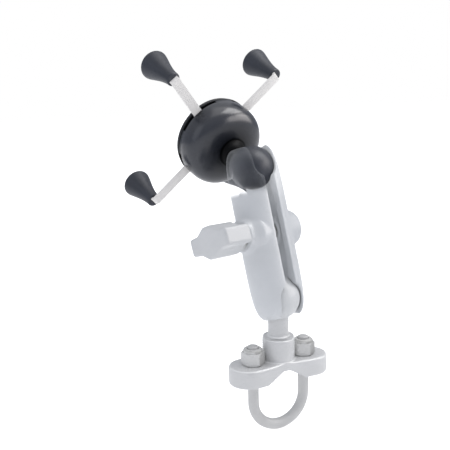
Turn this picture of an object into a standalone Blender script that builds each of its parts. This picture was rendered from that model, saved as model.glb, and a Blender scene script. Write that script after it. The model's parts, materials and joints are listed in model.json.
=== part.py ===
"""Phone handlebar mount: U-bolt base, ball post, double-socket clamp arm with a
winged knob, and a spring-loaded X-shaped cradle on a second ball.

Frame: origin at the middle of the flat root of the saddle's V groove, where a
handlebar sits. +Z runs up the ball post, +X through the two U-bolt legs, and +Y
along the handlebar, the way the arm leans. Lengths are metres."""

import math
from contextlib import contextmanager

import bmesh
import bpy
from mathutils import Matrix, Vector

mm = 0.001

# ---------------------------------------------------------------- shared dimensions
GAP = 0.3 * mm                 # clearance between touching pieces
THROUGH = 40 * mm              # a bore's cutter reaches this far each way
SLOT_REACH = 30 * mm           # the same for the groove and notch cutters

BALL_R = 12.7 * mm
COVER_T = 2.0 * mm             # rubber over the metal core
CORE_R = BALL_R - COVER_T - 0.45 * mm
NECK_R = 6.0 * mm
LOW_BALL_Z = 41.6 * mm

BALL_SPAN = 76.0 * mm          # between the two ball centres
ARM_TURN = math.radians(10.9)  # clamp axis, turned about Z from +X
ARM_LEAN = math.radians(16.7)  # arm leans towards +Y

CRADLE_TURN = math.radians(7.7)
CRADLE_LEAN = math.radians(21.65)
CRADLE_ROLL = math.radians(-0.56)
BALL_TO_PAD = 44.4 * mm        # upper ball centre to the phone's back

# looks
CAST = dict(colour=(0.55, 0.57, 0.60), roughness=0.45, metallic=0.0)
ZINC = dict(colour=(0.50, 0.51, 0.52), roughness=0.35, metallic=0.8)
STEEL = dict(colour=(0.86, 0.85, 0.83), roughness=0.25, metallic=1.0)
PLASTIC = dict(colour=(0.045, 0.05, 0.065), roughness=0.35, metallic=0.0)
RUBBER = dict(colour=(0.035, 0.04, 0.055), roughness=0.6, metallic=0.0)
PALE_RUBBER = dict(colour=(0.45, 0.46, 0.48), roughness=0.6, metallic=0.0)

# ---------------------------------------------------------------- scene and frames
for old in list(bpy.data.objects):
    bpy.data.objects.remove(old, do_unlink=True)

PARTS = bpy.data.collections.new("phone_handlebar_mount")
bpy.context.scene.collection.children.link(PARTS)


def new_object(name, data):
    obj = bpy.data.objects.new(name, data)
    PARTS.objects.link(obj)
    return obj


def frame(name, matrix):
    empty = new_object(name, None)
    empty.empty_display_size = 0.01
    empty.matrix_world = matrix
    return empty


def rot(axis, angle):
    return Matrix.Rotation(angle, 4, axis)


def move(x=0.0, y=0.0, z=0.0):
    return Matrix.Translation((x, y, z))


IDENTITY = Matrix.Identity(4)
ALONG_X = rot("Y", math.pi / 2)          # turns a Z rod to run along +X
TOWARDS_KNOB = rot("Y", -math.pi / 2)    # turns a Z rod to run along -X

LOW_BALL = move(z=LOW_BALL_Z)
ARM = LOW_BALL @ rot("Z", ARM_TURN) @ rot("X", -ARM_LEAN)   # X clamp axis, Z along the arm
CRADLE_ROT = rot("Z", CRADLE_TURN) @ rot("X", math.pi / 2 + CRADLE_LEAN) @ rot("Z", CRADLE_ROLL)
# Z points from the hub to the ball
TOP_BALL = Matrix.Translation((ARM @ move(z=BALL_SPAN)).translation) @ CRADLE_ROT

BASE_FRAME = frame("base_frame", IDENTITY)
POST_FRAME = frame("low_ball_frame", LOW_BALL)
frame("arm_frame", ARM)
CLAMP_FRAME = frame("clamp_frame", ARM @ move(z=BALL_SPAN / 2))
TOP_FRAME = frame("top_ball_frame", TOP_BALL)
HUB_FRAME = frame("hub_frame", TOP_BALL @ move(z=-BALL_TO_PAD))   # origin on the phone's back
bpy.context.view_layer.update()


# ---------------------------------------------------------------- points
def polar(radius, angle):
    return radius * math.cos(angle), radius * math.sin(angle)


def arc(centre_x, centre_y, radius, start, end, steps):
    """steps+1 points on an arc, angles in degrees."""
    points = [polar(radius, math.radians(start + (end - start) * i / steps))
              for i in range(steps + 1)]
    return [(centre_x + x, centre_y + y) for x, y in points]


def hexagon(across_flats):
    return [polar(across_flats / math.sqrt(3), math.pi / 3 * i) for i in range(6)]


def with_half_turn(points):
    """The points, then the same again turned half way round the origin."""
    return points + [(-x, -y) for x, y in points]


def sphere_profile(radius, mouth_r, steps, centre_z=0.0):
    """(radius, z) from a sphere's top down to where it narrows to mouth_r."""
    sweep = math.pi - math.asin(mouth_r / radius)
    angles = [sweep * i / steps for i in range(1, steps + 1)]
    return [(0, centre_z + radius)] + [
        (radius * math.sin(angle), centre_z + radius * math.cos(angle)) for angle in angles
    ]


# ---------------------------------------------------------------- solids
@contextmanager
def edited(mesh):
    """Opens a mesh for bmesh operators and writes the result back."""
    work = bmesh.new()
    work.from_mesh(mesh)
    yield work
    work.to_mesh(mesh)
    work.free()


def solid(name, work, turn=IDENTITY):
    bmesh.ops.transform(work, matrix=turn, verts=work.verts)
    bmesh.ops.recalc_face_normals(work, faces=work.faces)
    mesh = bpy.data.meshes.new(name)
    work.to_mesh(mesh)
    work.free()
    return new_object(name, mesh)


def box(name, size, centre, turn=IDENTITY):
    work = bmesh.new()
    bmesh.ops.create_cube(work, size=1.0)
    bmesh.ops.scale(work, vec=Vector(size), verts=work.verts)
    bmesh.ops.translate(work, vec=Vector(centre), verts=work.verts)
    return solid(name, work, turn)


def cone(name, low_r, high_r, low, high, segments, turn=IDENTITY):
    """A cone along Z from low to high, then turned by a matrix."""
    work = bmesh.new()
    bmesh.ops.create_cone(work, cap_ends=True, segments=segments,
                          radius1=low_r, radius2=high_r, depth=high - low)
    bmesh.ops.translate(work, vec=(0, 0, (low + high) / 2), verts=work.verts)
    return solid(name, work, turn)


def cylinder(name, radius, low, high, segments, turn=IDENTITY):
    return cone(name, radius, radius, low, high, segments, turn)


def bore(name, radius, segments, turn=IDENTITY):
    """A cutter for a hole right through a piece."""
    return cylinder(name, radius, -THROUGH, THROUGH, segments, turn)


def sphere(name, radius, segments, rings, turn):
    work = bmesh.new()
    bmesh.ops.create_uvsphere(work, u_segments=segments, v_segments=rings, radius=radius)
    return solid(name, work, turn)


def evaluated_mesh(obj):
    bpy.context.view_layer.update()
    graph = bpy.context.evaluated_depsgraph_get()
    return bpy.data.meshes.new_from_object(obj.evaluated_get(graph))


def baked(obj):
    """The object with its modifiers applied."""
    mesh = evaluated_mesh(obj)
    mesh.name = obj.name
    obj.modifiers.clear()
    obj.data = mesh
    return obj


def turned(name, profile, steps):
    """A profile of (radius, z) points, from the top down its outer side, turned about Z."""
    mesh = bpy.data.meshes.new(name)
    mesh.from_pydata([(radius, 0.0, z) for radius, z in profile],
                     [(i, i + 1) for i in range(len(profile) - 1)], [])
    obj = new_object(name, mesh)
    screw = obj.modifiers.new("turn", "SCREW")
    screw.axis = "Z"
    screw.steps = steps
    screw.render_steps = steps
    screw.use_merge_vertices = True
    screw.merge_threshold = 1e-6
    return baked(obj)


def curve_solid(name, curve, points, cyclic=False, turn=IDENTITY):
    """A mesh from a curve that follows straight lines between 3D points."""
    spline = curve.splines.new("POLY")
    spline.points.add(len(points) - 1)
    for point, position in zip(spline.points, points):
        point.co = (*position, 1.0)
    spline.use_cyclic_u = cyclic
    obj = new_object(name, curve)
    mesh = evaluated_mesh(obj)
    mesh.name = name
    bpy.data.objects.remove(obj, do_unlink=True)
    with edited(mesh) as work:
        bmesh.ops.remove_doubles(work, verts=work.verts, dist=1e-6)
        bmesh.ops.transform(work, matrix=turn, verts=work.verts)
        bmesh.ops.recalc_face_normals(work, faces=work.faces)
    return new_object(name, mesh)


def prism(name, outline, low, high, turn=IDENTITY):
    """A closed outline in XY, solid from z low to high, then turned by a matrix."""
    curve = bpy.data.curves.new(name, "CURVE")
    curve.dimensions = "2D"
    curve.fill_mode = "BOTH"
    curve.extrude = (high - low) / 2
    points = [(x, y, 0.0) for x, y in outline]
    return curve_solid(name, curve, points, True, turn @ move(z=(low + high) / 2))


def wire(name, points, radius, resolution):
    curve = bpy.data.curves.new(name, "CURVE")
    curve.dimensions = "3D"
    curve.bevel_depth = radius
    curve.bevel_resolution = resolution
    curve.use_fill_caps = True
    return curve_solid(name, curve, points)


def bevel(obj, width, angle):
    mod = obj.modifiers.new("bevel", "BEVEL")
    mod.width = width
    mod.segments = 2
    mod.limit_method = "ANGLE"
    mod.angle_limit = math.radians(angle)
    return baked(obj)


def combine(obj, other, how):
    mod = obj.modifiers.new(how.lower(), "BOOLEAN")
    mod.operation = how
    mod.solver = "EXACT"
    mod.object = other
    baked(obj)
    bpy.data.objects.remove(other, do_unlink=True)
    return obj


def cut(obj, *cutters):
    for cutter in cutters:
        combine(obj, cutter, "DIFFERENCE")
    return obj


def join(obj, other):
    return combine(obj, other, "UNION")


# ---------------------------------------------------------------- placing
def material(name, colour, roughness, metallic):
    mat = bpy.data.materials.new(name)
    mat.use_nodes = True
    shader = mat.node_tree.nodes["Principled BSDF"]
    shader.inputs["Base Color"].default_value = (*colour, 1.0)
    shader.inputs["Roughness"].default_value = roughness
    shader.inputs["Metallic"].default_value = metallic
    mat.diffuse_color = (*colour, 1.0)
    return mat


def place(obj, parent, look, local=IDENTITY):
    """Parents obj to a frame, at a pose given in that frame, with its own material."""
    obj.parent = parent
    obj.matrix_parent_inverse = IDENTITY
    obj.matrix_basis = local
    obj.data.materials.clear()
    obj.data.materials.append(material(obj.name, **look))


def finish(obj, parent, look, local=IDENTITY):
    """Tidies a mesh left by Booleans, sets its shading and places it."""
    with edited(obj.data) as work:
        bmesh.ops.dissolve_degenerate(work, edges=work.edges, dist=2e-7)
        bmesh.ops.dissolve_limit(work, angle_limit=math.radians(0.5),
                                 verts=work.verts, edges=work.edges)
        bmesh.ops.triangulate(work, faces=[face for face in work.faces if len(face.verts) > 4])
    obj.data.shade_smooth()
    obj.data.set_sharp_from_angle(angle=math.radians(35))
    place(obj, parent, look, local)


# ---------------------------------------------------------------- pieces used twice
SPRING_WIRE_R = 0.6 * mm


def ball_core(centre_z):
    return sphere_profile(CORE_R, NECK_R, 7, centre_z)


def ball_cover(name, parent, look):
    """Rubber over a ball's core, open where the neck leaves it, towards -Z."""
    mouth_r = NECK_R + 0.4 * mm
    outside = sphere_profile(BALL_R, mouth_r, 10)
    inside = sphere_profile(BALL_R - COVER_T, mouth_r, 7)
    finish(turned(name, outside + inside[::-1], 24), parent, look)


def coil(name, radius, length, turns, per_turn, start, parent, local):
    """A coil spring about Z, centred on z = 0; start is the angle of its first point."""
    count = turns * per_turn
    points = [
        (*polar(radius, 2 * math.pi * turns * i / count + start), -length / 2 + length * i / count)
        for i in range(count + 1)
    ]
    spring = wire(name, points, SPRING_WIRE_R, 1)
    spring.data.shade_smooth()
    place(spring, parent, STEEL, local)


# ---------------------------------------------------------------- saddle
V_HEIGHT = 6.4 * mm            # depth of the V groove
V_ROOT_HALF = 2.0 * mm         # half width of its flat root
V_FOOT_HALF = 13.0 * mm        # half width at the plate's underside
V_OVERCUT = 2 * mm             # the groove's cutter runs this far below the plate
PLATE_T = 11.0 * mm
PLATE_TOP_Z = -V_HEIGHT + PLATE_T
LOBE_R = 11.5 * mm
LOBE_X = 20.0 * mm
WAIST_HALF = 9.9 * mm
BOSS_R = 9.4 * mm
BOSS_TOP_Z = 18.1 * mm
BOSS_ROUND = 1.6 * mm          # rounded top edge
BOSS_FILLET = 1.2 * mm         # where the boss meets the plate
BOSS_FOOT_R = BOSS_R + 1.05 * mm
BOSS_SINK = 3 * mm             # the boss starts this far inside the plate
BOSS_TRIM_Z = (-10 * mm, 50 * mm)
LEG_SPAN = 34.1 * mm           # between the U-bolt's leg centres
LEG_X = LEG_SPAN / 2
LEG_HOLE_R = 3.5 * mm
POST_HOLE_R = 4.3 * mm
POST_HOLE_FLOOR_Z = 5.5 * mm


def saddle_outline():
    """Two round lobes on X, joined by cosine edges that narrow to a waist."""
    def edge(x):
        return WAIST_HALF + (LOBE_R - WAIST_HALF) * (1 - math.cos(math.pi * x / LOBE_X)) / 2

    steps = 6
    stations = [LOBE_X * i / steps for i in range(steps + 1)]
    right = [(x, -edge(x)) for x in stations]
    right += arc(LOBE_X, 0, LOBE_R, -90, 90, 10)[1:]
    right += [(x, edge(x)) for x in stations[-2:0:-1]]
    return with_half_turn(right)


def saddle_boss():
    """Round boss with a fillet at its foot, kept within the plate's outline."""
    profile = [(0, BOSS_TOP_Z)]
    profile += arc(BOSS_R - BOSS_ROUND, BOSS_TOP_Z - BOSS_ROUND, BOSS_ROUND, 90, 0, 4)
    profile += arc(BOSS_R + BOSS_FILLET, PLATE_TOP_Z + BOSS_FILLET, BOSS_FILLET, 180, 262, 4)
    boss_low = PLATE_TOP_Z - BOSS_SINK
    profile += [(BOSS_FOOT_R, boss_low), (0, boss_low)]
    trim = prism("boss_trim", saddle_outline(), *BOSS_TRIM_Z)
    return combine(turned("boss", profile, 28), trim, "INTERSECT")


def saddle():
    plate = prism("base_plate", saddle_outline(), -V_HEIGHT, PLATE_TOP_Z)
    plate = join(bevel(plate, 1.6 * mm, 40), saddle_boss())
    depth = V_HEIGHT + V_OVERCUT
    foot = V_ROOT_HALF + (V_FOOT_HALF - V_ROOT_HALF) / V_HEIGHT * depth
    groove = [(-V_ROOT_HALF, 0), (V_ROOT_HALF, 0), (foot, -depth), (-foot, -depth)]
    cut(
        plate,
        prism("v_cutter", groove, -SLOT_REACH, SLOT_REACH, rot("X", math.pi / 2)),
        bore("leg_hole_l", LEG_HOLE_R, 24, move(-LEG_X)),
        bore("leg_hole_r", LEG_HOLE_R, 24, move(LEG_X)),
        cylinder("post_hole", POST_HOLE_R, POST_HOLE_FLOOR_Z, THROUGH, 24),
    )
    finish(plate, BASE_FRAME, CAST)


saddle()

# ---------------------------------------------------------------- ball post
SKIRT_LOW_Z = BOSS_TOP_Z + GAP
SKIRT_RIM = 0.5 * mm           # height of the skirt's upright rim
SKIRT_H = 3.4 * mm             # flare at the foot of the lower ball's post
SKIRT_OUT = 3.0 * mm
STUD_R = 4.0 * mm
STUD_TIP_R = 3.2 * mm
STUD_TIP_Z = 6.5 * mm
STUD_CHAMFER = 1.0 * mm
FLAT_CUT = (24 * mm, 6 * mm, 2.0 * mm)
FLAT_HALF = 6.8 * mm           # post axis to each wrench flat
FLAT_H = 1.1 * mm              # height of the flats above the skirt's foot
FLAT_TURN = math.radians(-31.0)


def base_post():
    """A stud in the boss, a flared skirt with two wrench flats, and the ball's core."""
    skirt_r = NECK_R + SKIRT_OUT
    profile = ball_core(LOW_BALL_Z)
    profile += [
        (NECK_R + SKIRT_OUT * (1 - math.cos(angle)),
         SKIRT_LOW_Z + SKIRT_RIM + SKIRT_H * (1 - math.sin(angle)))
        for angle in [math.pi / 2 * i / 6 for i in range(7)]
    ]
    profile += [(skirt_r, SKIRT_LOW_Z), (STUD_R, SKIRT_LOW_Z),
                (STUD_R, STUD_TIP_Z + STUD_CHAMFER), (STUD_TIP_R, STUD_TIP_Z), (0, STUD_TIP_Z)]
    post = turned("base_post", profile, 24)
    centre_y = FLAT_HALF + FLAT_CUT[1] / 2
    centre_z = SKIRT_LOW_Z + FLAT_H - FLAT_CUT[2] / 2
    for side in (-1, 1):
        cut(post, box("flat", FLAT_CUT, (0, side * centre_y, centre_z), rot("Z", FLAT_TURN)))
    finish(post, BASE_FRAME, CAST)


base_post()
ball_cover("base_ball", POST_FRAME, PALE_RUBBER)

# ---------------------------------------------------------------- U-bolt and nuts
ROD_R = 3.175 * mm
U_BOTTOM_Z = -35.9 * mm        # centreline of the bend at its lowest
STUD_TOP_Z = 15.4 * mm
NUT_AF = 12.0 * mm             # across flats
NUT_H = 7.2 * mm
NUT_COLLAR_R = 5.7 * mm
NUT_COLLAR_TOP_R = NUT_COLLAR_R - 0.3 * mm
NUT_COLLAR_H = 1.9 * mm
RING_SEAT_R = 4.75 * mm
RING_R = 4.45 * mm
RING_BORE_R = ROD_R + 0.2 * mm


def u_bolt():
    bend = arc(0, U_BOTTOM_Z + LEG_X, LEG_X, 180, 360, 16)
    path = [(-LEG_X, STUD_TOP_Z), (-LEG_X, PLATE_TOP_Z), *bend,
            (LEG_X, PLATE_TOP_Z), (LEG_X, STUD_TOP_Z)]
    finish(wire("u_bolt", [(x, 0, z) for x, z in path], ROD_R, 3), BASE_FRAME, ZINC)


def lock_nut(name, local):
    """A hex nut with a turned collar that holds a nylon ring."""
    body = prism(name, hexagon(NUT_AF), 0, NUT_H)
    # the cone takes off the hexagon's upper corners
    chamfer = cone("nut_cone", NUT_AF / 2 + 12.0 * mm, NUT_AF / 2 + 0.02 * mm,
                   -0.5 * mm, NUT_H + 0.06 * mm, 30)
    combine(body, chamfer, "INTERSECT")
    join(body, cone("nut_collar", NUT_COLLAR_R, NUT_COLLAR_TOP_R,
                    NUT_H - 1 * mm, NUT_H + NUT_COLLAR_H, 28))
    cut(
        body,
        bore("nut_bore", ROD_R + GAP, 24),
        cylinder("ring_seat", RING_SEAT_R, NUT_H - 0.6 * mm, NUT_H + 1.0 * mm, 24),
    )
    finish(body, BASE_FRAME, ZINC, local)


def nylon_ring(name, local):
    ring = cylinder(name, RING_R, NUT_H - 0.3 * mm, NUT_H + 0.7 * mm, 24)
    cut(ring, bore("ring_bore", RING_BORE_R, 24))
    finish(ring, BASE_FRAME, PALE_RUBBER, local)


u_bolt()
for side_name, nut_x, nut_turn in (("left", -LEG_X, 32.7), ("right", LEG_X, 33.0)):
    seat = move(nut_x, 0, PLATE_TOP_Z + GAP)
    lock_nut(f"nut_{side_name}", seat @ rot("Z", math.radians(nut_turn)))
    nylon_ring(f"nut_ring_{side_name}", seat)

# ---------------------------------------------------------------- arm
# Clamp frame: X is the clamp axis, with the far shell on +X and the near shell and
# knob on -X. Z runs along the arm. Sizes ending in _X are distances from the seam
# plane, on the piece's own side.
SHELL_HALF_LENGTH = 50.4 * mm
SHELL_HALF_T = 15.4 * mm       # half thickness, across the seam
SHELL_HALF_WIDTH = 14.0 * mm   # along the seam
SEAM_HALF = 3.7 * mm           # each rim stands this far from the seam plane
SEAM_BLOCK = 80 * mm           # size of the block that cuts each shell at its rim
HOLLOW_HALF_LENGTH = 30 * mm
HOLLOW_HALF_T = SHELL_HALF_T - 3.4 * mm
HOLLOW_HALF_WIDTH = SHELL_HALF_WIDTH - 4.3 * mm
TUBE_R = 8.2 * mm              # outside of the tube left round the bolt
TUBE_REACH = 20 * mm
SOCKET_R = BALL_R + GAP
NOTCH_HALF = 7.9 * mm          # post slot, half width
NOTCH_OUT = 0.3 * mm           # its round end is centred this far beyond the ball's centre
MOUTH_R = (8.2 * mm, 12.2 * mm)    # cone that opens each end, and its reach from the ball
MOUTH_Z = (7.5 * mm, 17.5 * mm)
SPRING_SEAT_R = 6.3 * mm
SPRING_SEAT_X = 8.6 * mm
BOLT_R = 3.1 * mm
BOLT_BORE_R = BOLT_R + GAP
BOLT_TIP_X = 36 * mm
FAR_BOSS_R = (10.9 * mm, 10.3 * mm)    # root, end
FAR_BOSS_X = (8 * mm, 20.0 * mm)
NEAR_BOSS_R = (11.6 * mm, 9.4 * mm)
NEAR_BOSS_X = (7 * mm, 18.2 * mm)
FAR_END_X = FAR_BOSS_X[1]
NEAR_END_X = NEAR_BOSS_X[1]
POCKET_AF = 11.8 * mm
POCKET_FLOOR_X = FAR_END_X - 4.8 * mm
POCKET_CUT = 6 * mm
HEAD_AF = 11.1 * mm
HEAD_LOW_X = FAR_END_X - 4.5 * mm
HEAD_T = 4.0 * mm


def signed_power(value, power):
    return math.copysign(abs(value) ** power, value)


def shell_form(name, half_length, half_t, half_width, ends, sides, segments, rings):
    """A long rounded form: a sphere drawn out so that its outline is a superellipse
    of power `ends` lengthwise and its section one of power `sides`."""
    work = bmesh.new()
    bmesh.ops.create_uvsphere(work, u_segments=segments, v_segments=rings, radius=1.0)
    for vert in work.verts:
        x, y, z = vert.co
        radius = math.hypot(x, y)
        cosine, sine = (x / radius, y / radius) if radius > 1e-9 else (1.0, 0.0)
        spread = radius ** (2 / ends)
        vert.co = (
            half_t * spread * signed_power(cosine, 2 / sides),
            half_width * spread * signed_power(sine, 2 / sides),
            half_length * signed_power(z, 2 / ends),
        )
    return solid(name, work)


def arm_shell(name, side, boss):
    """One half of the clamp with its boss, on side +1 or -1 of the seam."""
    shell = shell_form(name, SHELL_HALF_LENGTH, SHELL_HALF_T, SHELL_HALF_WIDTH, 5.6, 2.3, 28, 18)
    join(shell, boss)
    # hollow between the sockets, with a tube left round the bolt
    hollow = shell_form("hollow", HOLLOW_HALF_LENGTH, HOLLOW_HALF_T, HOLLOW_HALF_WIDTH,
                        4.0, 2.6, 20, 12)
    cut(hollow, cylinder("tube", TUBE_R, -TUBE_REACH, TUBE_REACH, 24, ALONG_X))
    cut(shell, hollow)
    cut(shell, box("away", (SEAM_BLOCK, SEAM_BLOCK, 3 * SEAM_BLOCK),
                   (-side * (SEAM_BLOCK / 2 - SEAM_HALF), 0, 0)))
    slot = arc(0, NOTCH_OUT, NOTCH_HALF, 180, 360, 14)
    slot += [(NOTCH_HALF, THROUGH), (-NOTCH_HALF, THROUGH)]
    for end in (-1, 1):
        centre = move(z=end * BALL_SPAN / 2)
        outward = rot("X", math.pi if end < 0 else 0)
        cut(
            shell,
            sphere("socket", SOCKET_R, 28, 16, centre),
            prism("notch", slot, -SLOT_REACH, SLOT_REACH, centre @ rot("X", end * math.pi / 2)),
            cone("mouth", *MOUTH_R, *MOUTH_Z, 28, centre @ outward),
        )
    return cut(
        shell,
        cylinder("spring_seat", SPRING_SEAT_R, -SPRING_SEAT_X, SPRING_SEAT_X, 20, ALONG_X),
        bore("bolt_bore", BOLT_BORE_R, 16, ALONG_X),
    )


def far_shell():
    """The +X half, with a hexagonal pocket for the bolt's head."""
    shell = arm_shell("arm_shell_far", 1, cone("boss", *FAR_BOSS_R, *FAR_BOSS_X, 28, ALONG_X))
    cut(shell, prism("head_pocket", hexagon(POCKET_AF),
                     POCKET_FLOOR_X, POCKET_FLOOR_X + POCKET_CUT, ALONG_X))
    finish(shell, CLAMP_FRAME, CAST)


def near_shell():
    boss = cone("boss", *NEAR_BOSS_R, *NEAR_BOSS_X, 28, TOWARDS_KNOB)
    finish(arm_shell("arm_shell_near", -1, boss), CLAMP_FRAME, CAST)


def clamp_bolt():
    """Hex head in the far shell's pocket, shank through both shells into the knob."""
    bolt = prism("clamp_bolt", hexagon(HEAD_AF), HEAD_LOW_X, HEAD_LOW_X + HEAD_T, ALONG_X)
    join(bolt, cylinder("shank", BOLT_R, -BOLT_TIP_X, FAR_END_X - 3 * mm, 24, ALONG_X))
    finish(bolt, CLAMP_FRAME, ZINC)


far_shell()
near_shell()
clamp_bolt()
coil("arm_spring", radius=5.0 * mm, length=15.0 * mm, turns=5, per_turn=10, start=0.0,
     parent=CLAMP_FRAME, local=ALONG_X)

# ---------------------------------------------------------------- knob
KNOB_TURN = rot("X", math.radians(-5.0))
KNOB_IN_X = 20.0 * mm
KNOB_OUT_X = 41.0 * mm
GRIP_IN_X = KNOB_IN_X + 4 * mm
KNOB_HALF_LENGTH = 34.6 * mm / 2
KNOB_TIP_HALF = 10.0 * mm / 2
KNOB_MID_HALF = 18.4 * mm / 2
KNOB_CORNER = 1.6 * mm
KNOB_HUB_R = (7.4 * mm, 8.2 * mm)      # inner end, outer end
KNOB_HUB_T = 8 * mm
INSERT_R = 4.9 * mm            # to its six corners
INSERT_BORE_R = 5.3 * mm
WASHER_R = 6.8 * mm

# a quarter of the grip's outline, from its middle to a tip: (half width, along the grip)
KNOB_QUARTER = [
    (KNOB_MID_HALF, 0.0),
    (KNOB_MID_HALF, 2.2 * mm),
    (KNOB_MID_HALF - 0.6 * mm, 5.0 * mm),
    (KNOB_TIP_HALF + 0.6 * mm, 10.0 * mm),
    (KNOB_TIP_HALF, 12.5 * mm),
    (KNOB_TIP_HALF, KNOB_HALF_LENGTH - KNOB_CORNER),
    (KNOB_TIP_HALF - KNOB_CORNER, KNOB_HALF_LENGTH),
]


def knob_body():
    """A bar grip, long along Y, on a round hub, with a hexagonal bore for the insert."""
    right = [(x, -y) for x, y in KNOB_QUARTER[:0:-1]] + KNOB_QUARTER
    knob = prism("knob_body", with_half_turn(right), GRIP_IN_X, KNOB_OUT_X, TOWARDS_KNOB)
    bevel(knob, 1.0 * mm, 50)
    join(knob, cone("knob_hub", *KNOB_HUB_R, KNOB_IN_X, KNOB_IN_X + KNOB_HUB_T, 32, TOWARDS_KNOB))
    cut(knob, cylinder("insert_bore", INSERT_BORE_R, KNOB_IN_X - 5 * mm,
                       KNOB_OUT_X - 3.0 * mm, 6, TOWARDS_KNOB))
    finish(knob, CLAMP_FRAME, CAST, KNOB_TURN)


def knob_insert():
    insert = cylinder("knob_insert", INSERT_R, KNOB_IN_X + 0.2 * mm,
                      KNOB_OUT_X - 3.6 * mm, 6, TOWARDS_KNOB)
    cut(insert, bore("thread_bore", BOLT_BORE_R, 24, TOWARDS_KNOB))
    finish(insert, CLAMP_FRAME, ZINC, KNOB_TURN)


def knob_washer():
    washer = cylinder("knob_washer", WASHER_R, NEAR_END_X + GAP, KNOB_IN_X - GAP, 32, TOWARDS_KNOB)
    cut(washer, bore("washer_bore", BOLT_BORE_R, 24, TOWARDS_KNOB))
    finish(washer, CLAMP_FRAME, ZINC)


knob_body()
knob_insert()
knob_washer()

# ---------------------------------------------------------------- cradle
# Hub frame: z = 0 is the phone's back and +Z points to the ball. Sizes ending in _Z
# are heights in this frame.
HUB_R = 25.5 * mm
DOME_WALL = 2.4 * mm
DOME_SHOULDER_Z = 10.0 * mm
DOME_APEX_Z = 24.0 * mm
BASE_FRONT_Z = 0.5 * mm        # hub's base disc, face towards the phone
BASE_BACK_Z = 4.2 * mm
DOME_LOW_Z = BASE_BACK_Z + GAP
PAD_R = 18.6 * mm
PAD_T = 1.5 * mm
RECESS_R = PAD_R + GAP
RECESS_Z = PAD_T + GAP         # bottom of the pad's recess

BAR_T = 1.6 * mm
BAR_WIDTH = 5.7 * mm
BAR_Z = 5.55 * mm              # mid thickness of both bars where they leave the hub
BAR_LOW_Z = BAR_Z - BAR_T / 2
BAR_HIGH_Z = BAR_Z + BAR_T / 2
RISING_EYE_Z = 7.45 * mm       # the rising bar's eye, stacked on the other's
BAR_REACH = 53.3 * mm          # hub axis to the middle of a bent end
BAR_BEND = 2.2 * mm            # outer radius of the bend
BAR_BEND_INNER = 0.6 * mm
STEP_START = 9.4 * mm          # the rising bar steps down between these distances
STEP_END = 13.6 * mm
EYE_R = 8.4 * mm
EYE_BORE_R = 4.3 * mm
TAB_END_Z = -13.5 * mm
RISING_ANGLE = math.radians(48.3)   # bars from the cradle's sideways axis, at rest
FALLING_ANGLE = math.radians(134.2)

FLANGE_R = 7.5 * mm            # foot of the upper ball's post, inside the dome
FLANGE_T = 2.0 * mm
FLANGE_TOP_Z = DOME_APEX_Z - DOME_WALL - GAP
NECK_LOW_Z = 29.5 * mm         # where the neck starts to flare
NECK_FLARE_OUT = 2.6 * mm
NECK_FLARE_H = 4.9 * mm
SPIGOT_R = 4.4 * mm
SPIGOT_BORE_R = 4.7 * mm

WINDOW_HALF = math.radians(30.0)     # half angle of each slot that a bar swings in
WINDOW_IN_R = 8 * mm
WINDOW_OUT_R = 36 * mm

STUB_R = 4.0 * mm              # the pivot's stub on the base disc
STUB_BORE_R = 2.1 * mm
STUB_TOP_Z = 8.6 * mm
STUB_FLOOR_Z = RECESS_Z + 1 * mm

# hub screws, at the quarter points that no bar sweeps
SCREWS = [polar(15.4 * mm, math.radians(angle)) for angle in (0, 90, 180, 270)]
TOWER_R = 3.4 * mm
TOWER_TOP_Z = 21.0 * mm
PILOT_R = 1.55 * mm
PILOT_TOP_Z = 14 * mm
SCREW_HOLE_R = 1.75 * mm
SCREW_SEAT_R = 3.1 * mm
SCREW_SEAT_Z = (-1 * mm, RECESS_Z + 1.4 * mm)
SCREW_HEAD_R = 2.8 * mm
SCREW_HEAD_Z = (RECESS_Z + 0.1 * mm, RECESS_Z + 1.1 * mm)
SCREW_SHANK_R = 1.25 * mm
SCREW_SHANK_Z = (RECESS_Z + 0.6 * mm, 12 * mm)


def cradle_post():
    """A flange inside the dome, a filleted neck and the ball's core."""
    profile = ball_core(BALL_TO_PAD)
    profile += [
        (NECK_R + NECK_FLARE_OUT * (1 - math.cos(angle)), NECK_LOW_Z - NECK_FLARE_H * math.sin(angle))
        for angle in [math.pi / 2 * i / 4 for i in range(5)]
    ]
    flange_low = FLANGE_TOP_Z - FLANGE_T
    profile += [(SPIGOT_R, DOME_APEX_Z + GAP + 0.3 * mm), (SPIGOT_R, FLANGE_TOP_Z),
                (FLANGE_R, FLANGE_TOP_Z), (FLANGE_R, flange_low), (0, flange_low)]
    finish(turned("cradle_post", profile, 24), HUB_FRAME, PLASTIC)


def dome_profile(inset):
    """Outer or inner outline of the dome, top to bottom."""
    radius, rise = HUB_R - inset, DOME_APEX_Z - inset - DOME_SHOULDER_Z
    points = []
    steps = 7
    for i in range(steps + 1):
        angle = math.pi / 2 * (1 - i / steps)
        points.append((radius * math.cos(angle) ** (2 / 3) if i else 0.0,
                       DOME_SHOULDER_Z + rise * math.sin(angle) ** (2 / 3)))
    return points + [(radius, DOME_LOW_Z)]


def bar_window(angle):
    """A wedge that opens the dome's wall where a bar leaves it and swings."""
    points = [polar(WINDOW_IN_R, -WINDOW_HALF)]
    points += [polar(WINDOW_OUT_R, WINDOW_HALF * i / 2) for i in range(-2, 3)]
    points += [polar(WINDOW_IN_R, WINDOW_HALF)]
    return prism("window", points, DOME_LOW_Z - 2 * mm, BAR_HIGH_Z + 0.3 * mm, rot("Z", angle))


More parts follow.
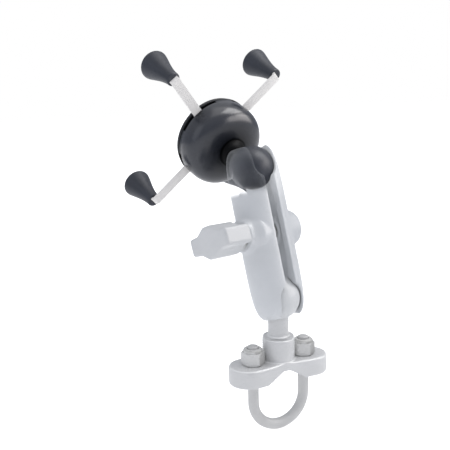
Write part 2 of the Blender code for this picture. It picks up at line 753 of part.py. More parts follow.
def hub_dome():
    dome = turned("hub_dome", dome_profile(0) + dome_profile(DOME_WALL)[::-1], 36)
    cut(dome, cylinder("post_bore", SPIGOT_BORE_R, DOME_SHOULDER_Z, THROUGH, 24))
    for half_turn in (0, math.pi):
        for angle in (RISING_ANGLE, FALLING_ANGLE):
            cut(dome, bar_window(angle + half_turn))
    for x, y in SCREWS:
        join(dome, cylinder("tower", TOWER_R, DOME_LOW_Z, TOWER_TOP_Z, 12, move(x, y)))
    for x, y in SCREWS:
        cut(dome, cylinder("screw_pilot", PILOT_R, DOME_LOW_Z - 2 * mm, PILOT_TOP_Z, 10, move(x, y)))
    finish(dome, HUB_FRAME, PLASTIC)


def hub_base():
    """Base disc with the pivot's stub, and screw holes from the phone's side."""
    profile = [
        (0, STUB_FLOOR_Z), (STUB_BORE_R, STUB_FLOOR_Z), (STUB_BORE_R, STUB_TOP_Z),
        (STUB_R, STUB_TOP_Z), (STUB_R, BASE_BACK_Z), (HUB_R + 0.3 * mm, BASE_BACK_Z),
        (HUB_R - 0.9 * mm, BASE_FRONT_Z), (RECESS_R, BASE_FRONT_Z), (RECESS_R, RECESS_Z),
        (0, RECESS_Z),
    ]
    base = turned("hub_base", profile, 36)
    for x, y in SCREWS:
        cut(
            base,
            bore("screw_hole", SCREW_HOLE_R, 10, move(x, y)),
            cylinder("head_seat", SCREW_SEAT_R, *SCREW_SEAT_Z, 14, move(x, y)),
        )
    finish(base, HUB_FRAME, PLASTIC)


def hub_screw(name, x, y):
    screw = cylinder(name, SCREW_HEAD_R, *SCREW_HEAD_Z, 14)
    join(screw, cylinder("screw_shank", SCREW_SHANK_R, *SCREW_SHANK_Z, 10))
    finish(screw, HUB_FRAME, ZINC, move(x, y))


def bar(name, eye_z, angle):
    """A steel strip with an eye at the pivot and both ends bent to the phone. Its
    outline is seen edge-on: level at the eye, at BAR_Z further out, bent at the ends."""
    end, tab_in, step = BAR_REACH + BAR_T / 2, BAR_REACH - BAR_T / 2, eye_z - BAR_Z
    under = [(STEP_START, BAR_LOW_Z + step), (STEP_END, BAR_LOW_Z)] if step else []
    over = [(STEP_END, BAR_HIGH_Z), (STEP_START, BAR_HIGH_Z + step)] if step else []
    side = under + [(tab_in - BAR_BEND_INNER, BAR_LOW_Z), (tab_in, BAR_LOW_Z - BAR_BEND_INNER),
                    (tab_in, TAB_END_Z), (end, TAB_END_Z)]
    side += arc(end - BAR_BEND, BAR_HIGH_Z - BAR_BEND, BAR_BEND, 0, 90, 5) + over
    outline = side + [(-x, y) for x, y in side[::-1]]
    strip = prism(name, outline, -BAR_WIDTH / 2, BAR_WIDTH / 2, rot("X", math.pi / 2))
    join(strip, cylinder("eye", EYE_R, eye_z - BAR_T / 2, eye_z + BAR_T / 2, 26))
    cut(strip, bore("eye_bore", EYE_BORE_R, 20))
    finish(strip, HUB_FRAME, STEEL, rot("Z", angle))


cradle_post()
ball_cover("cradle_ball", TOP_FRAME, RUBBER)
hub_dome()
hub_base()
for number, (screw_x, screw_y) in enumerate(SCREWS, 1):
    hub_screw(f"hub_screw_{number}", screw_x, screw_y)
finish(cylinder("hub_pad", PAD_R, 0, PAD_T, 36), HUB_FRAME, RUBBER)
bar("leg_falling", BAR_Z, FALLING_ANGLE)
bar("leg_rising", RISING_EYE_Z, RISING_ANGLE)

# ---------------------------------------------------------------- caps on the bent ends
CAP_LENGTH = 24.0 * mm
CAP_FLARE_R = 8.7 * mm
CAP_WAIST_R = 4.1 * mm
CAP_EDGE = 0.5 * mm            # chamfer at the top, and at the rim of the flare
CAP_FLARE_LENGTH = CAP_LENGTH - 1.7 * mm
CAP_TOP_Z = BAR_LOW_Z - 0.5 * mm
CAP_FOOT_Z = CAP_TOP_Z - CAP_LENGTH


def cap(name, angle):
    """A flared rubber tip pushed over a bent end. It runs towards -Z, away from the ball."""
    profile = [(0, CAP_TOP_Z), (CAP_WAIST_R - CAP_EDGE, CAP_TOP_Z),
               (CAP_WAIST_R, CAP_TOP_Z - CAP_EDGE)]
    steps = 5
    for i in range(1, steps + 1):
        along = i / steps
        flare = 0.12 * along + 0.88 * along ** 2.1     # slow at first, then opening fast
        profile.append((CAP_WAIST_R + (CAP_FLARE_R - CAP_WAIST_R) * flare,
                        CAP_TOP_Z - CAP_EDGE - CAP_FLARE_LENGTH * along))
    profile += [(CAP_FLARE_R - CAP_EDGE, CAP_FOOT_Z + 0.3 * mm),
                (CAP_FLARE_R - 1.6 * mm, CAP_FOOT_Z), (0, CAP_FOOT_Z - 0.6 * mm)]
    tip = turned(name, profile, 18)
    slot_low = TAB_END_Z - GAP
    depth = CAP_TOP_Z + 5 * mm - slot_low
    cut(tip, box("tab_slot", (BAR_T + 2 * GAP, BAR_WIDTH + 2 * GAP, depth),
                 (0, 0, slot_low + depth / 2)))
    finish(tip, HUB_FRAME, RUBBER, move(*polar(BAR_REACH, angle)) @ rot("Z", angle))


cap("cap_upper_left", FALLING_ANGLE)
cap("cap_lower_right", FALLING_ANGLE + math.pi)
cap("cap_upper_right", RISING_ANGLE)
cap("cap_lower_left", RISING_ANGLE + math.pi)

# ---------------------------------------------------------------- pivot
PIVOT_HEAD_R = (3.6 * mm, 3.2 * mm)
PIVOT_HEAD_Z = (9.9 * mm, 12.0 * mm)
PIVOT_SHANK_R = 1.8 * mm
PIVOT_SHANK_Z = (4.0 * mm, 11 * mm)
KEEPER_R = 6.6 * mm
KEEPER_Z = (8.9 * mm, 9.6 * mm)
KEEPER_BORE_R = 2.1 * mm


def pivot_screw():
    """Runs down the stub."""
    pivot = cone("pivot_screw", *PIVOT_HEAD_R, *PIVOT_HEAD_Z, 18)
    join(pivot, cylinder("pivot_shank", PIVOT_SHANK_R, *PIVOT_SHANK_Z, 14))
    finish(pivot, HUB_FRAME, ZINC)


def pivot_washer():
    """Keeps the bars on the stub."""
    keeper = cylinder("pivot_washer", KEEPER_R, *KEEPER_Z, 20)
    cut(keeper, bore("keeper_bore", KEEPER_BORE_R, 14))
    finish(keeper, HUB_FRAME, ZINC)


pivot_screw()
pivot_washer()
coil("leg_spring", radius=8.0 * mm, length=4.2 * mm, turns=3, per_turn=12, start=0.6,
     parent=HUB_FRAME, local=move(z=12.0 * mm))
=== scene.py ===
"""A phone handlebar mount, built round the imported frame. Lengths are metres.

The saddle lies in XY with its V groove along Y below it and the U-bolt hanging in the XZ plane.
A post carries the lower ball above it on +Z. The clamp arm leans from there to the upper ball,
and the cradle's hub, with its two crossed legs, stands off that ball towards +Y and up.
"""

import json
from math import acos, asin, atan2, copysign, cos, hypot, pi, radians, sin, sqrt, tan

import bmesh
import bpy
from mathutils import Matrix, Vector

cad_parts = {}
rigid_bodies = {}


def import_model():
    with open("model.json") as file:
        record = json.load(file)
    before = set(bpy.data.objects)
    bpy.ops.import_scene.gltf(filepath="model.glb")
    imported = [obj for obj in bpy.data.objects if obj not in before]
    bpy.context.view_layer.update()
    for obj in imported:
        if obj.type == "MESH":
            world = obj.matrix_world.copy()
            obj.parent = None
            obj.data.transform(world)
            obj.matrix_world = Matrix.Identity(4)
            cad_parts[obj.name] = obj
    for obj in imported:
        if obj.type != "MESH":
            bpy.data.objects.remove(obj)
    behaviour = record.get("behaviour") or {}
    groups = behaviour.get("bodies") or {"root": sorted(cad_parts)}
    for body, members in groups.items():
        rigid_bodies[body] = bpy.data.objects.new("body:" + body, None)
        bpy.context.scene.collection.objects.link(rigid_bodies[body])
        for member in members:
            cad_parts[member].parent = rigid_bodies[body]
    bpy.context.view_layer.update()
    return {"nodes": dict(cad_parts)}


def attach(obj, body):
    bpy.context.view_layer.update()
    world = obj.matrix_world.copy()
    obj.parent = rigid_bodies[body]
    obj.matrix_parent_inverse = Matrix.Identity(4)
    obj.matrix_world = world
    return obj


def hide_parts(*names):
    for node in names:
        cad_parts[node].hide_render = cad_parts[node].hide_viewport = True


for old in list(bpy.data.objects):
    bpy.data.objects.remove(old, do_unlink=True)

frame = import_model()
mm = 0.001

# ------------------------------------------------------------------ driving dimensions
GAP = 0.3 * mm                      # clearance between neighbouring parts

# Saddle and U-bolt
LEG_SPAN = 34.1 * mm                # between the U-bolt's legs
ROD_R = 3.175 * mm
PITCH = 1.27 * mm                   # of every thread
PLATE_TOP = 4.6 * mm
V_HEIGHT = 6.4 * mm

# Balls: a core on a neck, under a rubber skin
BALL_R = 12.7 * mm
NECK_R = 6.0 * mm
SKIN_T = 2.0 * mm
CORE_R = BALL_R - SKIN_T - 0.45 * mm
NECK_ANGLE = asin(NECK_R / CORE_R)
LOW_BALL_Z = 41.6 * mm
BALL_SPAN = 76.0 * mm

# Clamp arm: half sizes along Z, X and Y of its own frame, then distances out along X
SHELL_LONG, SHELL_DEEP, SHELL_WIDE = 50.4 * mm, 15.4 * mm, 14.0 * mm
SEAM = 3.7 * mm
FAR_BOSS, NEAR_BOSS = 20.0 * mm, 18.2 * mm
KNOB_IN, KNOB_OUT = 20.0 * mm, 41.0 * mm

# Cradle: heights are along the hub's own Z, from the pad's face towards the ball
BALL_TO_PAD = 44.4 * mm
HUB_R = 25.5 * mm
DOME_SHOULDER, DOME_APEX, DOME_WALL = 10.0 * mm, 24.0 * mm, 2.4 * mm
DISC_LOW, DISC_HIGH = 0.5 * mm, 4.2 * mm
LEG_THICK, LEG_WIDE = 1.6 * mm, 5.7 * mm
LEG_Z, RAISED_EYE_Z = 5.55 * mm, 7.45 * mm
LEG_REACH = 53.3 * mm
TAB_END_Z = -13.5 * mm
RISING, FALLING = radians(48.3), radians(134.2)
CAP_LONG, CAP_FLARE_R, CAP_WAIST_R = 24.0 * mm, 8.7 * mm, 4.1 * mm


# ------------------------------------------------------------------ frames
def turn(axis, angle):
    return Matrix.Rotation(angle, 4, axis)


def move(x=0.0, y=0.0, z=0.0):
    return Matrix.Translation((x, y, z))


HERE = Matrix.Identity(4)
LOW_BALL = move(z=LOW_BALL_Z)
ARM = LOW_BALL @ turn("Z", radians(10.9)) @ turn("X", -radians(16.7))
CLAMP = ARM @ move(z=BALL_SPAN / 2)
KNOB = CLAMP @ turn("X", radians(-5.0))
CRADLE_TURN = turn("Z", radians(7.7)) @ turn("X", pi / 2 + radians(21.65)) @ turn("Z", radians(-0.56))
TOP_BALL = Matrix.Translation((ARM @ move(z=BALL_SPAN)).translation) @ CRADLE_TURN
HUB = TOP_BALL @ move(z=-BALL_TO_PAD)
ALONG_X = turn("Y", pi / 2)
ALONG_MINUS_X = turn("Y", -pi / 2)


# ------------------------------------------------------------------ node helpers
class Graph:
    """A node tree, its main shader, and short ways to add to them."""

    def __init__(self, owner, main="Principled BSDF"):
        self.tree = owner.node_tree
        self.main = self.tree.nodes[main]

    def feed(self, node, inputs):
        """Each input is given a value, or a socket to link from."""
        for key, value in inputs.items():
            if isinstance(value, bpy.types.NodeSocket):
                self.tree.links.new(value, node.inputs[key])
            else:
                node.inputs[key].default_value = value

    def add(self, kind, output, inputs=None, **settings):
        """Adds a node and returns the named output."""
        node = self.tree.nodes.new("ShaderNode" + kind)
        for key, value in settings.items():
            setattr(node, key, value)
        self.feed(node, inputs or {})
        return node.outputs[output]

    def math(self, operation, *values):
        return self.add("Math", 0, dict(enumerate(values)), operation=operation)

    def map_range(self, value, start=0.0, end=1.0, low=0.0, high=1.0, **settings):
        inputs = {"From Min": start, "From Max": end, "To Min": low, "To Max": high, "Value": value}
        return self.add("MapRange", "Result", inputs, **settings)

    def mix(self, factor, under, over, **settings):
        inputs = {"Factor": factor, "A": under, "B": over}
        return self.add("Mix", "Result", inputs, data_type="RGBA", **settings)

    def ramp(self, factor, stops):
        """A colour ramp through (position, colour) stops, any past the second put between."""
        made = self.tree.nodes.new("ShaderNodeValToRGB")
        elements = made.color_ramp.elements
        for index, (position, colour) in enumerate(stops):
            element = elements[index] if index < 2 else elements.new(position)
            element.position = position
            element.color = (*colour, 1)
        self.feed(made, {"Fac": factor})
        return made.outputs["Color"]

    def height(self, coordinates):
        return self.add("SeparateXYZ", "Z", {0: coordinates})


def worn_and_highlit_edges(graph, under, colour, start=0.58, end=0.72):
    """Mixes a colour in on convex edges, from one pointiness to another; the lighter edges are partly
    wear, partly a painted highlight.
    """
    pointed = graph.add("NewGeometry", "Pointiness")
    return graph.mix(graph.map_range(pointed, start, end), under, (*colour, 1))


def painted_light_by_facing(graph, under, colour, centre, spread, amount, axis=(0, 0, 1)):
    """Mixes a colour in where the normal's part along axis is within spread of centre: a painted
    highlight when the colour is lighter, painted shade when it is darker.
    """
    normal = graph.add("NewGeometry", "Normal")
    along = graph.add("VectorMath", "Value", {0: normal, 1: axis}, operation="DOT_PRODUCT")
    away = graph.math("ABSOLUTE", graph.math("SUBTRACT", along, centre))
    share = graph.map_range(away, 0.0, spread, amount, 0.0, interpolation_type="SMOOTHSTEP")
    return graph.mix(share, under, (*colour, 1))


def paint_hollow_shade(graph, under, specular, distance, power):
    """Paints shade into creases and recesses: dims the colour and the specular level by ambient
    occlusion; power sets how deeply.
    """
    open_part = graph.add("AmbientOcclusion", "AO", {"Distance": distance}, samples=8)
    open_part = graph.math("POWER", open_part, power)
    colour = graph.mix(1.0, under, open_part, blend_type="MULTIPLY")
    gloss = graph.math("MULTIPLY", open_part, specular)
    graph.feed(graph.main, {"Specular IOR Level": gloss})
    return colour


def new_material(name):
    mat = bpy.data.materials.new(name)
    mat.use_nodes = True
    return mat


def surface(name, colour, rough, vary=0.06, vary_scale=60.0, rough_vary=0.08,
            metallic=0.0, specular=0.5, coat=0.0, coat_rough=0.1, sheen=0.0,
            grain=0.0, grain_scale=2500.0, dent=0.0, dent_scale=350.0, stretch=(1, 1, 1),
            painted_glow=0.0, wear_and_highlight=None, painted_facing_light=None, painted_hollow_shade=None):
    """Colour and roughness drift (vary) with fine and broad bump (grain, dent).

    glow is emission in the surface's own colour, painted light that lifts its shade. worn, band and
    hollows are the arguments of worn_and_highlit_edges, painted_light_by_facing and occluded: lighter
    edges that are partly wear and partly a painted highlight, a painted highlight or shade by facing,
    and painted shade in creases and recesses.
    """
    mat = new_material(name)
    graph = Graph(mat)
    spot = graph.add("TexCoord", "Object")
    spot = graph.add("Mapping", "Vector", {"Vector": spot, "Scale": stretch})

    def noise(scale, detail):
        return graph.add("TexNoise", "Fac", {
            "Vector": spot, "Scale": scale, "Detail": detail, "Roughness": 0.55})

    darker = [part * (1 - 2 * vary) for part in colour]
    lighter = [min(1.0, part * (1 + vary)) for part in colour]
    shown = graph.ramp(noise(vary_scale, 4.0), [(0.32, darker), (0.68, lighter)])
    # Convex edges are lightened: partly wear, partly a painted highlight.
    if wear_and_highlight:
        shown = worn_and_highlit_edges(graph, shown, **wear_and_highlight)
    if painted_facing_light:
        shown = painted_light_by_facing(graph, shown, **painted_facing_light)
    graph.feed(graph.main, {"Specular IOR Level": specular})
    # Painted shade in creases and recesses.
    if painted_hollow_shade:
        shown = paint_hollow_shade(graph, shown, specular, **painted_hollow_shade)
    # Emission in the surface's own colour: painted light that lifts the shade on the pale parts and
    # the steel.
    if painted_glow:
        graph.feed(graph.main, {"Emission Color": shown, "Emission Strength": painted_glow})
    rough_drift = graph.map_range(noise(vary_scale * 3.7, 3.0),
                                  low=max(0.02, rough - rough_vary),
                                  high=min(1.0, rough + rough_vary))
    graph.feed(graph.main, {
        "Base Color": shown, "Roughness": rough_drift, "Metallic": metallic,
        "Coat Weight": coat, "Coat Roughness": coat_rough,
        "Sheen Weight": sheen, "Sheen Roughness": 0.5})
    normal = {}
    for strength, scale, distance in ((grain, grain_scale, 0.06 * mm),
                                      (dent, dent_scale, 0.3 * mm)):
        if strength:
            inputs = {"Strength": strength, "Distance": distance, "Height": noise(scale, 3.0)}
            normal = {"Normal": graph.add("Bump", "Normal", {**inputs, **normal})}
    graph.feed(graph.main, normal)
    return mat


# ------------------------------------------------------------------ materials
CAST = surface(
    "pale_coated_casting", (0.455, 0.468, 0.49), rough=0.40, vary=0.02, specular=0.18, painted_glow=0.25,
    grain=0.2, grain_scale=1800, dent=0.05, dent_scale=140,
    wear_and_highlight=dict(colour=(0.56, 0.57, 0.59)), painted_hollow_shade=dict(distance=0.010, power=0.16))
BASE_CAST = surface(
    "pale_coated_saddle", (0.46, 0.463, 0.473), rough=0.42, vary=0.025, painted_glow=0.26,
    coat=0.2, coat_rough=0.22, grain=0.25, grain_scale=1500, dent=0.07, dent_scale=160,
    wear_and_highlight=dict(colour=(0.55, 0.555, 0.56)), painted_hollow_shade=dict(distance=0.008, power=0.2),
    # band paints a highlight along the rounded edges that face up and out.
    painted_facing_light=dict(colour=(0.66, 0.665, 0.67), centre=0.68, spread=0.36, amount=0.9))
NEAR_CAST = surface(
    "pale_coated_casting_near", (0.452, 0.465, 0.487), rough=0.40, vary=0.02, painted_glow=0.24,
    coat=0.15, coat_rough=0.28, grain=0.06, grain_scale=1800, dent=0.05, dent_scale=140)
PALE_RUBBER = surface(
    "pale_rubber", (0.455, 0.465, 0.48), rough=0.45, vary=0.03, sheen=0.15, painted_glow=0.24,
    grain=0.2, grain_scale=3000, painted_hollow_shade=dict(distance=0.007, power=0.3))
GRIP = surface(
    "pale_moulded_grip", (0.435, 0.443, 0.458), rough=0.42, vary=0.02, painted_glow=0.24,
    grain=0.25, grain_scale=2600,
    wear_and_highlight=dict(colour=(0.54, 0.55, 0.56)), painted_hollow_shade=dict(distance=0.006, power=0.4))
ZINC = surface(
    "zinc_plate", (0.435, 0.435, 0.425), rough=0.50, vary=0.05, vary_scale=220, specular=0.35,
    painted_glow=0.2, grain=0.2, grain_scale=2200, painted_hollow_shade=dict(distance=0.002, power=0.22),
    wear_and_highlight=dict(colour=(0.52, 0.52, 0.52), start=0.56, end=0.66),
    # band paints shade on the faces turned towards the right, a painted dark reflection.
    painted_facing_light=dict(colour=(0.27, 0.27, 0.268), centre=1.0, spread=0.42, amount=0.85,
              axis=(0.385, -0.923, 0)))
ROD = surface(
    "zinc_rod", (0.435, 0.435, 0.437), rough=0.45, vary=0.04, vary_scale=120, painted_glow=0.22,
    grain=0.2, grain_scale=900, stretch=(1, 1, 0.12), painted_hollow_shade=dict(distance=0.002, power=0.2))
NYLON = surface("nylon", (0.52, 0.52, 0.525), rough=0.5, vary=0.02, grain=0.1, painted_glow=0.22)
STEEL = surface(
    "brushed_stainless", (0.66, 0.645, 0.635), rough=0.55, vary=0.012, vary_scale=60,
    rough_vary=0.02, specular=0.12, painted_glow=0.16)
SPRING = surface(
    "spring_steel", (0.72, 0.72, 0.72), rough=0.3, metallic=1.0, vary=0.05, grain=0.2)
# hollows here paints a deep shade on the dome round the stem's root.
DOME = surface(
    "dark_gloss_shell", (0.027, 0.030, 0.040), rough=0.25, vary=0.02, vary_scale=20,
    rough_vary=0.01, coat=0.08, coat_rough=0.2, painted_hollow_shade=dict(distance=0.020, power=2.0))
RIM = surface(
    "dark_satin_disc", (0.008, 0.009, 0.012), rough=0.45, specular=0.3,
    grain=0.15, grain_scale=2400, painted_hollow_shade=dict(distance=0.006, power=1.5))
RUBBER = surface(
    "dark_smooth_rubber", (0.022, 0.026, 0.038), rough=0.45, vary=0.07, vary_scale=70,
    rough_vary=0.05, sheen=0.05, specular=0.4,
    grain=0.18, grain_scale=2600, dent=0.05, dent_scale=260)
# The stem is coloured far darker than the dome's own plastic: partly its own black, partly painted
# shade round the neck; hollows adds more painted shade.
STEM = surface(
    "dark_stem", (0.004, 0.0045, 0.006), rough=0.5, vary_scale=80, specular=0.18,
    grain=0.12, grain_scale=2600, painted_hollow_shade=dict(distance=0.020, power=2.6))
BALL_RUBBER = surface(
    "ball_rubber", (0.026, 0.030, 0.042), rough=0.40, vary=0.04, vary_scale=80,
    sheen=0.04, specular=0.35, grain=0.08, grain_scale=2600)
PAD = surface(
    "pad_rubber", (0.018, 0.020, 0.026), rough=0.7, vary=0.08, grain=0.5, grain_scale=1600)


def copied(mat, ending):
    made = mat.copy()
    made.name = mat.name + ending
    return made, Graph(made)


def clear_end(mat, solid_z, clear_z, clear_alpha, edge_alpha, rim_alpha, slant):
    """A copy of mat that turns see-through towards +Z, with its grazing edges kept.

    slant tilts the start of the fade across the view; rim_alpha keeps sharp edges.
    """
    made, graph = copied(mat, "_clear_end")
    spot = graph.add("TexCoord", "Object")
    height = graph.height(spot)
    across = graph.add("VectorMath", "Value", {0: spot, 1: (0.887, -0.461, 0)},
                       operation="DOT_PRODUCT")
    outer = graph.math("MINIMUM", graph.math("ADD", across, 0.008), 0.0)
    level = graph.math("MULTIPLY_ADD", outer, -slant, height)
    solid = graph.map_range(level, solid_z, clear_z, 1.0, 0.0, interpolation_type="SMOOTHSTEP")
    grazing = graph.add("LayerWeight", "Facing", {"Blend": 0.16})
    edge = graph.map_range(grazing, low=clear_alpha, high=edge_alpha)
    seen = graph.math("MAXIMUM", solid, edge)
    pointed = graph.add("NewGeometry", "Pointiness")
    rim = graph.map_range(pointed, 0.53, 0.58, 0.0, rim_alpha)
    graph.feed(graph.main, {"Alpha": graph.math("MAXIMUM", seen, rim)})
    return made


def paler_end(mat, start_z, end_z, colour):
    """A copy of mat whose colour pales towards +Z."""
    made, graph = copied(mat, "_paler_end")
    height = graph.height(graph.add("TexCoord", "Object"))
    share = graph.map_range(height, start_z, end_z, interpolation_type="SMOOTHSTEP")
    under = graph.main.inputs["Base Color"].links[0].from_socket
    shown = graph.mix(share, under, (*colour, 1))
    graph.feed(graph.main, {"Base Color": shown, "Emission Color": shown})
    return made


CAST_CLEAR = clear_end(NEAR_CAST, solid_z=21.0 * mm, clear_z=26.0 * mm, clear_alpha=0.015,
                       edge_alpha=0.5, rim_alpha=0.0, slant=0.0)
FAR_PALE = paler_end(CAST, start_z=10 * mm, end_z=34 * mm, colour=(0.60, 0.61, 0.625))


# ------------------------------------------------------------------ outlines
def polar(radius, angle):
    return radius * cos(angle), radius * sin(angle)


def arc(centre_x, centre_y, radius, start, end, steps):
    """Points on an arc; start and end are in degrees."""
    angles = [radians(start + (end - start) * i / steps) for i in range(steps + 1)]
    return [(centre_x + radius * cos(a), centre_y + radius * sin(a)) for a in angles]


def meridian(radius, end, steps, centre=0.0):
    """(radius, z) points down a sphere from its top, as far as the angle end."""
    angles = [end * i / steps for i in range(steps + 1)]
    return [(radius * sin(a), centre + radius * cos(a)) for a in angles]


def hexagon(flats):
    """A hexagon by the distance across its flats."""
    return [polar(flats / sqrt(3), pi / 3 * i) for i in range(6)]


def rounded(points, steps=5, closed=False):
    """Rounds a polyline: a point (x, y, radius) becomes an arc, a point (x, y) stays sharp."""
    out = []
    count = len(points)
    for i, point in enumerate(points):
        radius = point[2] if len(point) > 2 else 0.0
        here = Vector(point[:2])
        if not radius or (not closed and i in (0, count - 1)):
            out.append(tuple(here))
            continue
        back = Vector(points[i - 1][:2]) - here
        ahead = Vector(points[(i + 1) % count][:2]) - here
        back_long, ahead_long = back.length, ahead.length
        back, ahead = back / back_long, ahead / ahead_long
        half = acos(max(-1, min(1, back.dot(ahead)))) / 2
        if half > pi / 2 - 1e-3:
            out.append(tuple(here))
            continue
        reach = min(radius / tan(half), 0.49 * back_long, 0.49 * ahead_long)
        radius = reach * tan(half)
        centre = here + (back + ahead).normalized() * (radius / sin(half))
        first, last = here + back * reach, here + ahead * reach
        start = atan2(first.y - centre.y, first.x - centre.x)
        end = atan2(last.y - centre.y, last.x - centre.x)
        sweep = (end - start + pi) % (2 * pi) - pi
        for j in range(steps + 1):
            angle = start + sweep * j / steps
            out.append((centre.x + radius * cos(angle), centre.y + radius * sin(angle)))
    return out


# ------------------------------------------------------------------ mesh helpers
def place(obj, matrix, body, mat, node):
    """Sets a finished piece in its frame, in place of the CAD node."""
    obj.matrix_world = matrix
    obj.data.materials.clear()
    obj.data.materials.append(mat)
    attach(obj, body)
    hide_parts(node)


def to_object(name, bm):
    bmesh.ops.recalc_face_normals(bm, faces=bm.faces)
    mesh = bpy.data.meshes.new(name)
    bm.to_mesh(mesh)
    bm.free()
    obj = bpy.data.objects.new(name, mesh)
    bpy.context.scene.collection.objects.link(obj)
    return obj


def shade(obj, angle=40.0):
    obj.data.shade_smooth()
    obj.data.set_sharp_from_angle(angle=radians(angle))
    return obj


def wall(bm, first, second):
    """Quads between two rings of vertices."""
    count = len(first)
    for i in range(count):
        j = (i + 1) % count
        bm.faces.new((first[i], first[j], second[j], second[i]))


def capped_skin(bm, rings):
    for first, second in zip(rings, rings[1:]):
        wall(bm, first, second)
    bm.faces.new(rings[0][::-1])
    bm.faces.new(rings[-1])


def lathe(name, profile, steps=96, ring=False):
    """A profile of (radius, z) turned about Z. A ring's profile is a loop clear of the axis."""
    bm = bmesh.new()
    rings = []
    for radius, z in profile:
        if radius < 1e-7:
            rings.append([bm.verts.new((0, 0, z))])
        else:
            rings.append([bm.verts.new((*polar(radius, 2 * pi * i / steps), z))
                          for i in range(steps)])
    pairs = list(zip(rings, rings[1:])) + ([(rings[-1], rings[0])] if ring else [])
    for first, second in pairs:
        if len(first) > 1 and len(second) > 1:
            wall(bm, first, second)
            continue
        if len(first) == len(second):
            continue
        for i in range(steps):
            j = (i + 1) % steps
            if len(first) == 1:
                bm.faces.new((first[0], second[j], second[i]))
            else:
                bm.faces.new((first[i], first[j], second[0]))
    return shade(to_object(name, bm))


def prism(name, points, low, high, matrix=HERE):
    """A closed outline in XY carried from z = low to z = high."""
    bm = bmesh.new()
    bottom = [bm.verts.new((x, y, low)) for x, y in points]
    top = [bm.verts.new((x, y, high)) for x, y in points]
    bm.faces.new(bottom[::-1])
    bm.faces.new(top)
    wall(bm, bottom, top)
    bmesh.ops.transform(bm, matrix=matrix, verts=bm.verts)
    return to_object(name, bm)


def cone(name, low_r, high_r, low, high, steps, matrix=HERE):
    obj = lathe(name, [(0, low), (low_r, low), (high_r, high), (0, high)], steps)
    obj.data.transform(matrix)
    return obj


def rod(name, radius, low, high, steps, matrix=HERE):
    return cone(name, radius, radius, low, high, steps, matrix)


def ball(name, radius, centre):
    bm = bmesh.new()
    bmesh.ops.create_uvsphere(bm, u_segments=64, v_segments=40, radius=radius)
    bmesh.ops.translate(bm, vec=Vector(centre), verts=bm.verts)
    return shade(to_object(name, bm))


def tube(name, points, radius, sides):
    """A round bar swept along points, by parallel transport."""
    points = [Vector(point) for point in points]
    last = len(points) - 1
    tangents = [(points[min(i + 1, last)] - points[max(i - 1, 0)]).normalized()
                for i in range(last + 1)]
    bm = bmesh.new()
    side = tangents[0].orthogonal().normalized()
    rings = []
    for i, (point, tangent) in enumerate(zip(points, tangents)):
        if i:
            side = tangents[i - 1].rotation_difference(tangent) @ side
        other = tangent.cross(side)
        angles = [2 * pi * j / sides for j in range(sides)]
        rings.append([bm.verts.new(point + radius * (cos(a) * side + sin(a) * other))
                      for a in angles])
    capped_skin(bm, rings)
    return shade(to_object(name, bm))


def threaded(name, length, radius, depth, steps, fade_in):
    """A threaded bar along +Z from 0, as one closed helicoid surface.

    Its top is plain and chamfered. With fade_in, the thread deepens gradually from z = 0.
    """
    rows = int(length / PITCH * 8)
    bm = bmesh.new()
    rings = []
    for i in range(rows + 1):
        z = length * i / rows
        left = length - z
        foot = min(1.0, z / (1.2 * mm)) if fade_in else 1.0
        blend = min(1.0, max(0.0, (1.5 * mm - left) / (0.5 * mm)))
        plain = radius - 0.08 * mm - max(0.0, 0.3 * mm - left)
        ring = []
        for j in range(steps):
            wave = abs(2 * ((z / PITCH + j / steps) % 1.0) - 1)
            here = radius - depth * min(1.0, max(0.0, 1.25 * wave - 0.12))
            here = radius - (radius - here) * foot
            here = here * (1 - blend) + plain * blend
            ring.append(bm.verts.new((*polar(here, 2 * pi * j / steps), z)))
        rings.append(ring)
    capped_skin(bm, rings)
    return shade(to_object(name, bm), 50)


def signed_power(value, power):
    return copysign(abs(value) ** power, value)


def superellipsoid(name, half_long, half_deep, half_wide, ends, sides, segments, rings):
    """Half sizes are along Z, X and Y; ends and sides are the exponents that square it."""
    bm = bmesh.new()
    bmesh.ops.create_uvsphere(bm, u_segments=segments, v_segments=rings, radius=1.0)
    for vert in bm.verts:
        x, y, z = vert.co
        radius = hypot(x, y)
        across, along = (x / radius, y / radius) if radius > 1e-9 else (1.0, 0.0)
        spread = radius ** (2 / ends)
        vert.co = (half_deep * spread * signed_power(across, 2 / sides),
                   half_wide * spread * signed_power(along, 2 / sides),
                   half_long * signed_power(z, 2 / ends))
    return shade(to_object(name, bm))


def bake(obj):
    """Applies the modifiers."""
    bpy.context.view_layer.update()
    graph = bpy.context.evaluated_depsgraph_get()
    mesh = bpy.data.meshes.new_from_object(obj.evaluated_get(graph))
    mesh.name = obj.name
    obj.modifiers.clear()
    obj.data = mesh


def boolean(obj, other, operation):
    """The Boolean of two solids; other is used up.

    If the solver loses the surface, it tries again with other nudged by microns.
    """
    start = obj.data.copy()
    for nudge in (0.0, 1.3e-6, -2.9e-6, 5.3e-6):
        other.data.transform(move(nudge, 0.7 * nudge, 0.4 * nudge))
        mod = obj.modifiers.new("b", "BOOLEAN")
        mod.operation = operation
        mod.solver = "EXACT"
        mod.object = other
        bake(obj)
        kept = len(obj.data.vertices) > 0.2 * len(start.vertices)
        if kept or operation == "INTERSECT":
            break
        obj.data = start.copy()
    bpy.data.objects.remove(other, do_unlink=True)


def cut(obj, *others):
    for other in others:
        boolean(obj, other, "DIFFERENCE")


def join(obj, other):
    boolean(obj, other, "UNION")


def bevel(obj, width, segments, angle):
    mod = obj.modifiers.new("edges", "BEVEL")
    mod.width = width
    mod.segments = segments
    mod.limit_method = "ANGLE"
    mod.angle_limit = radians(angle)
    bake(obj)


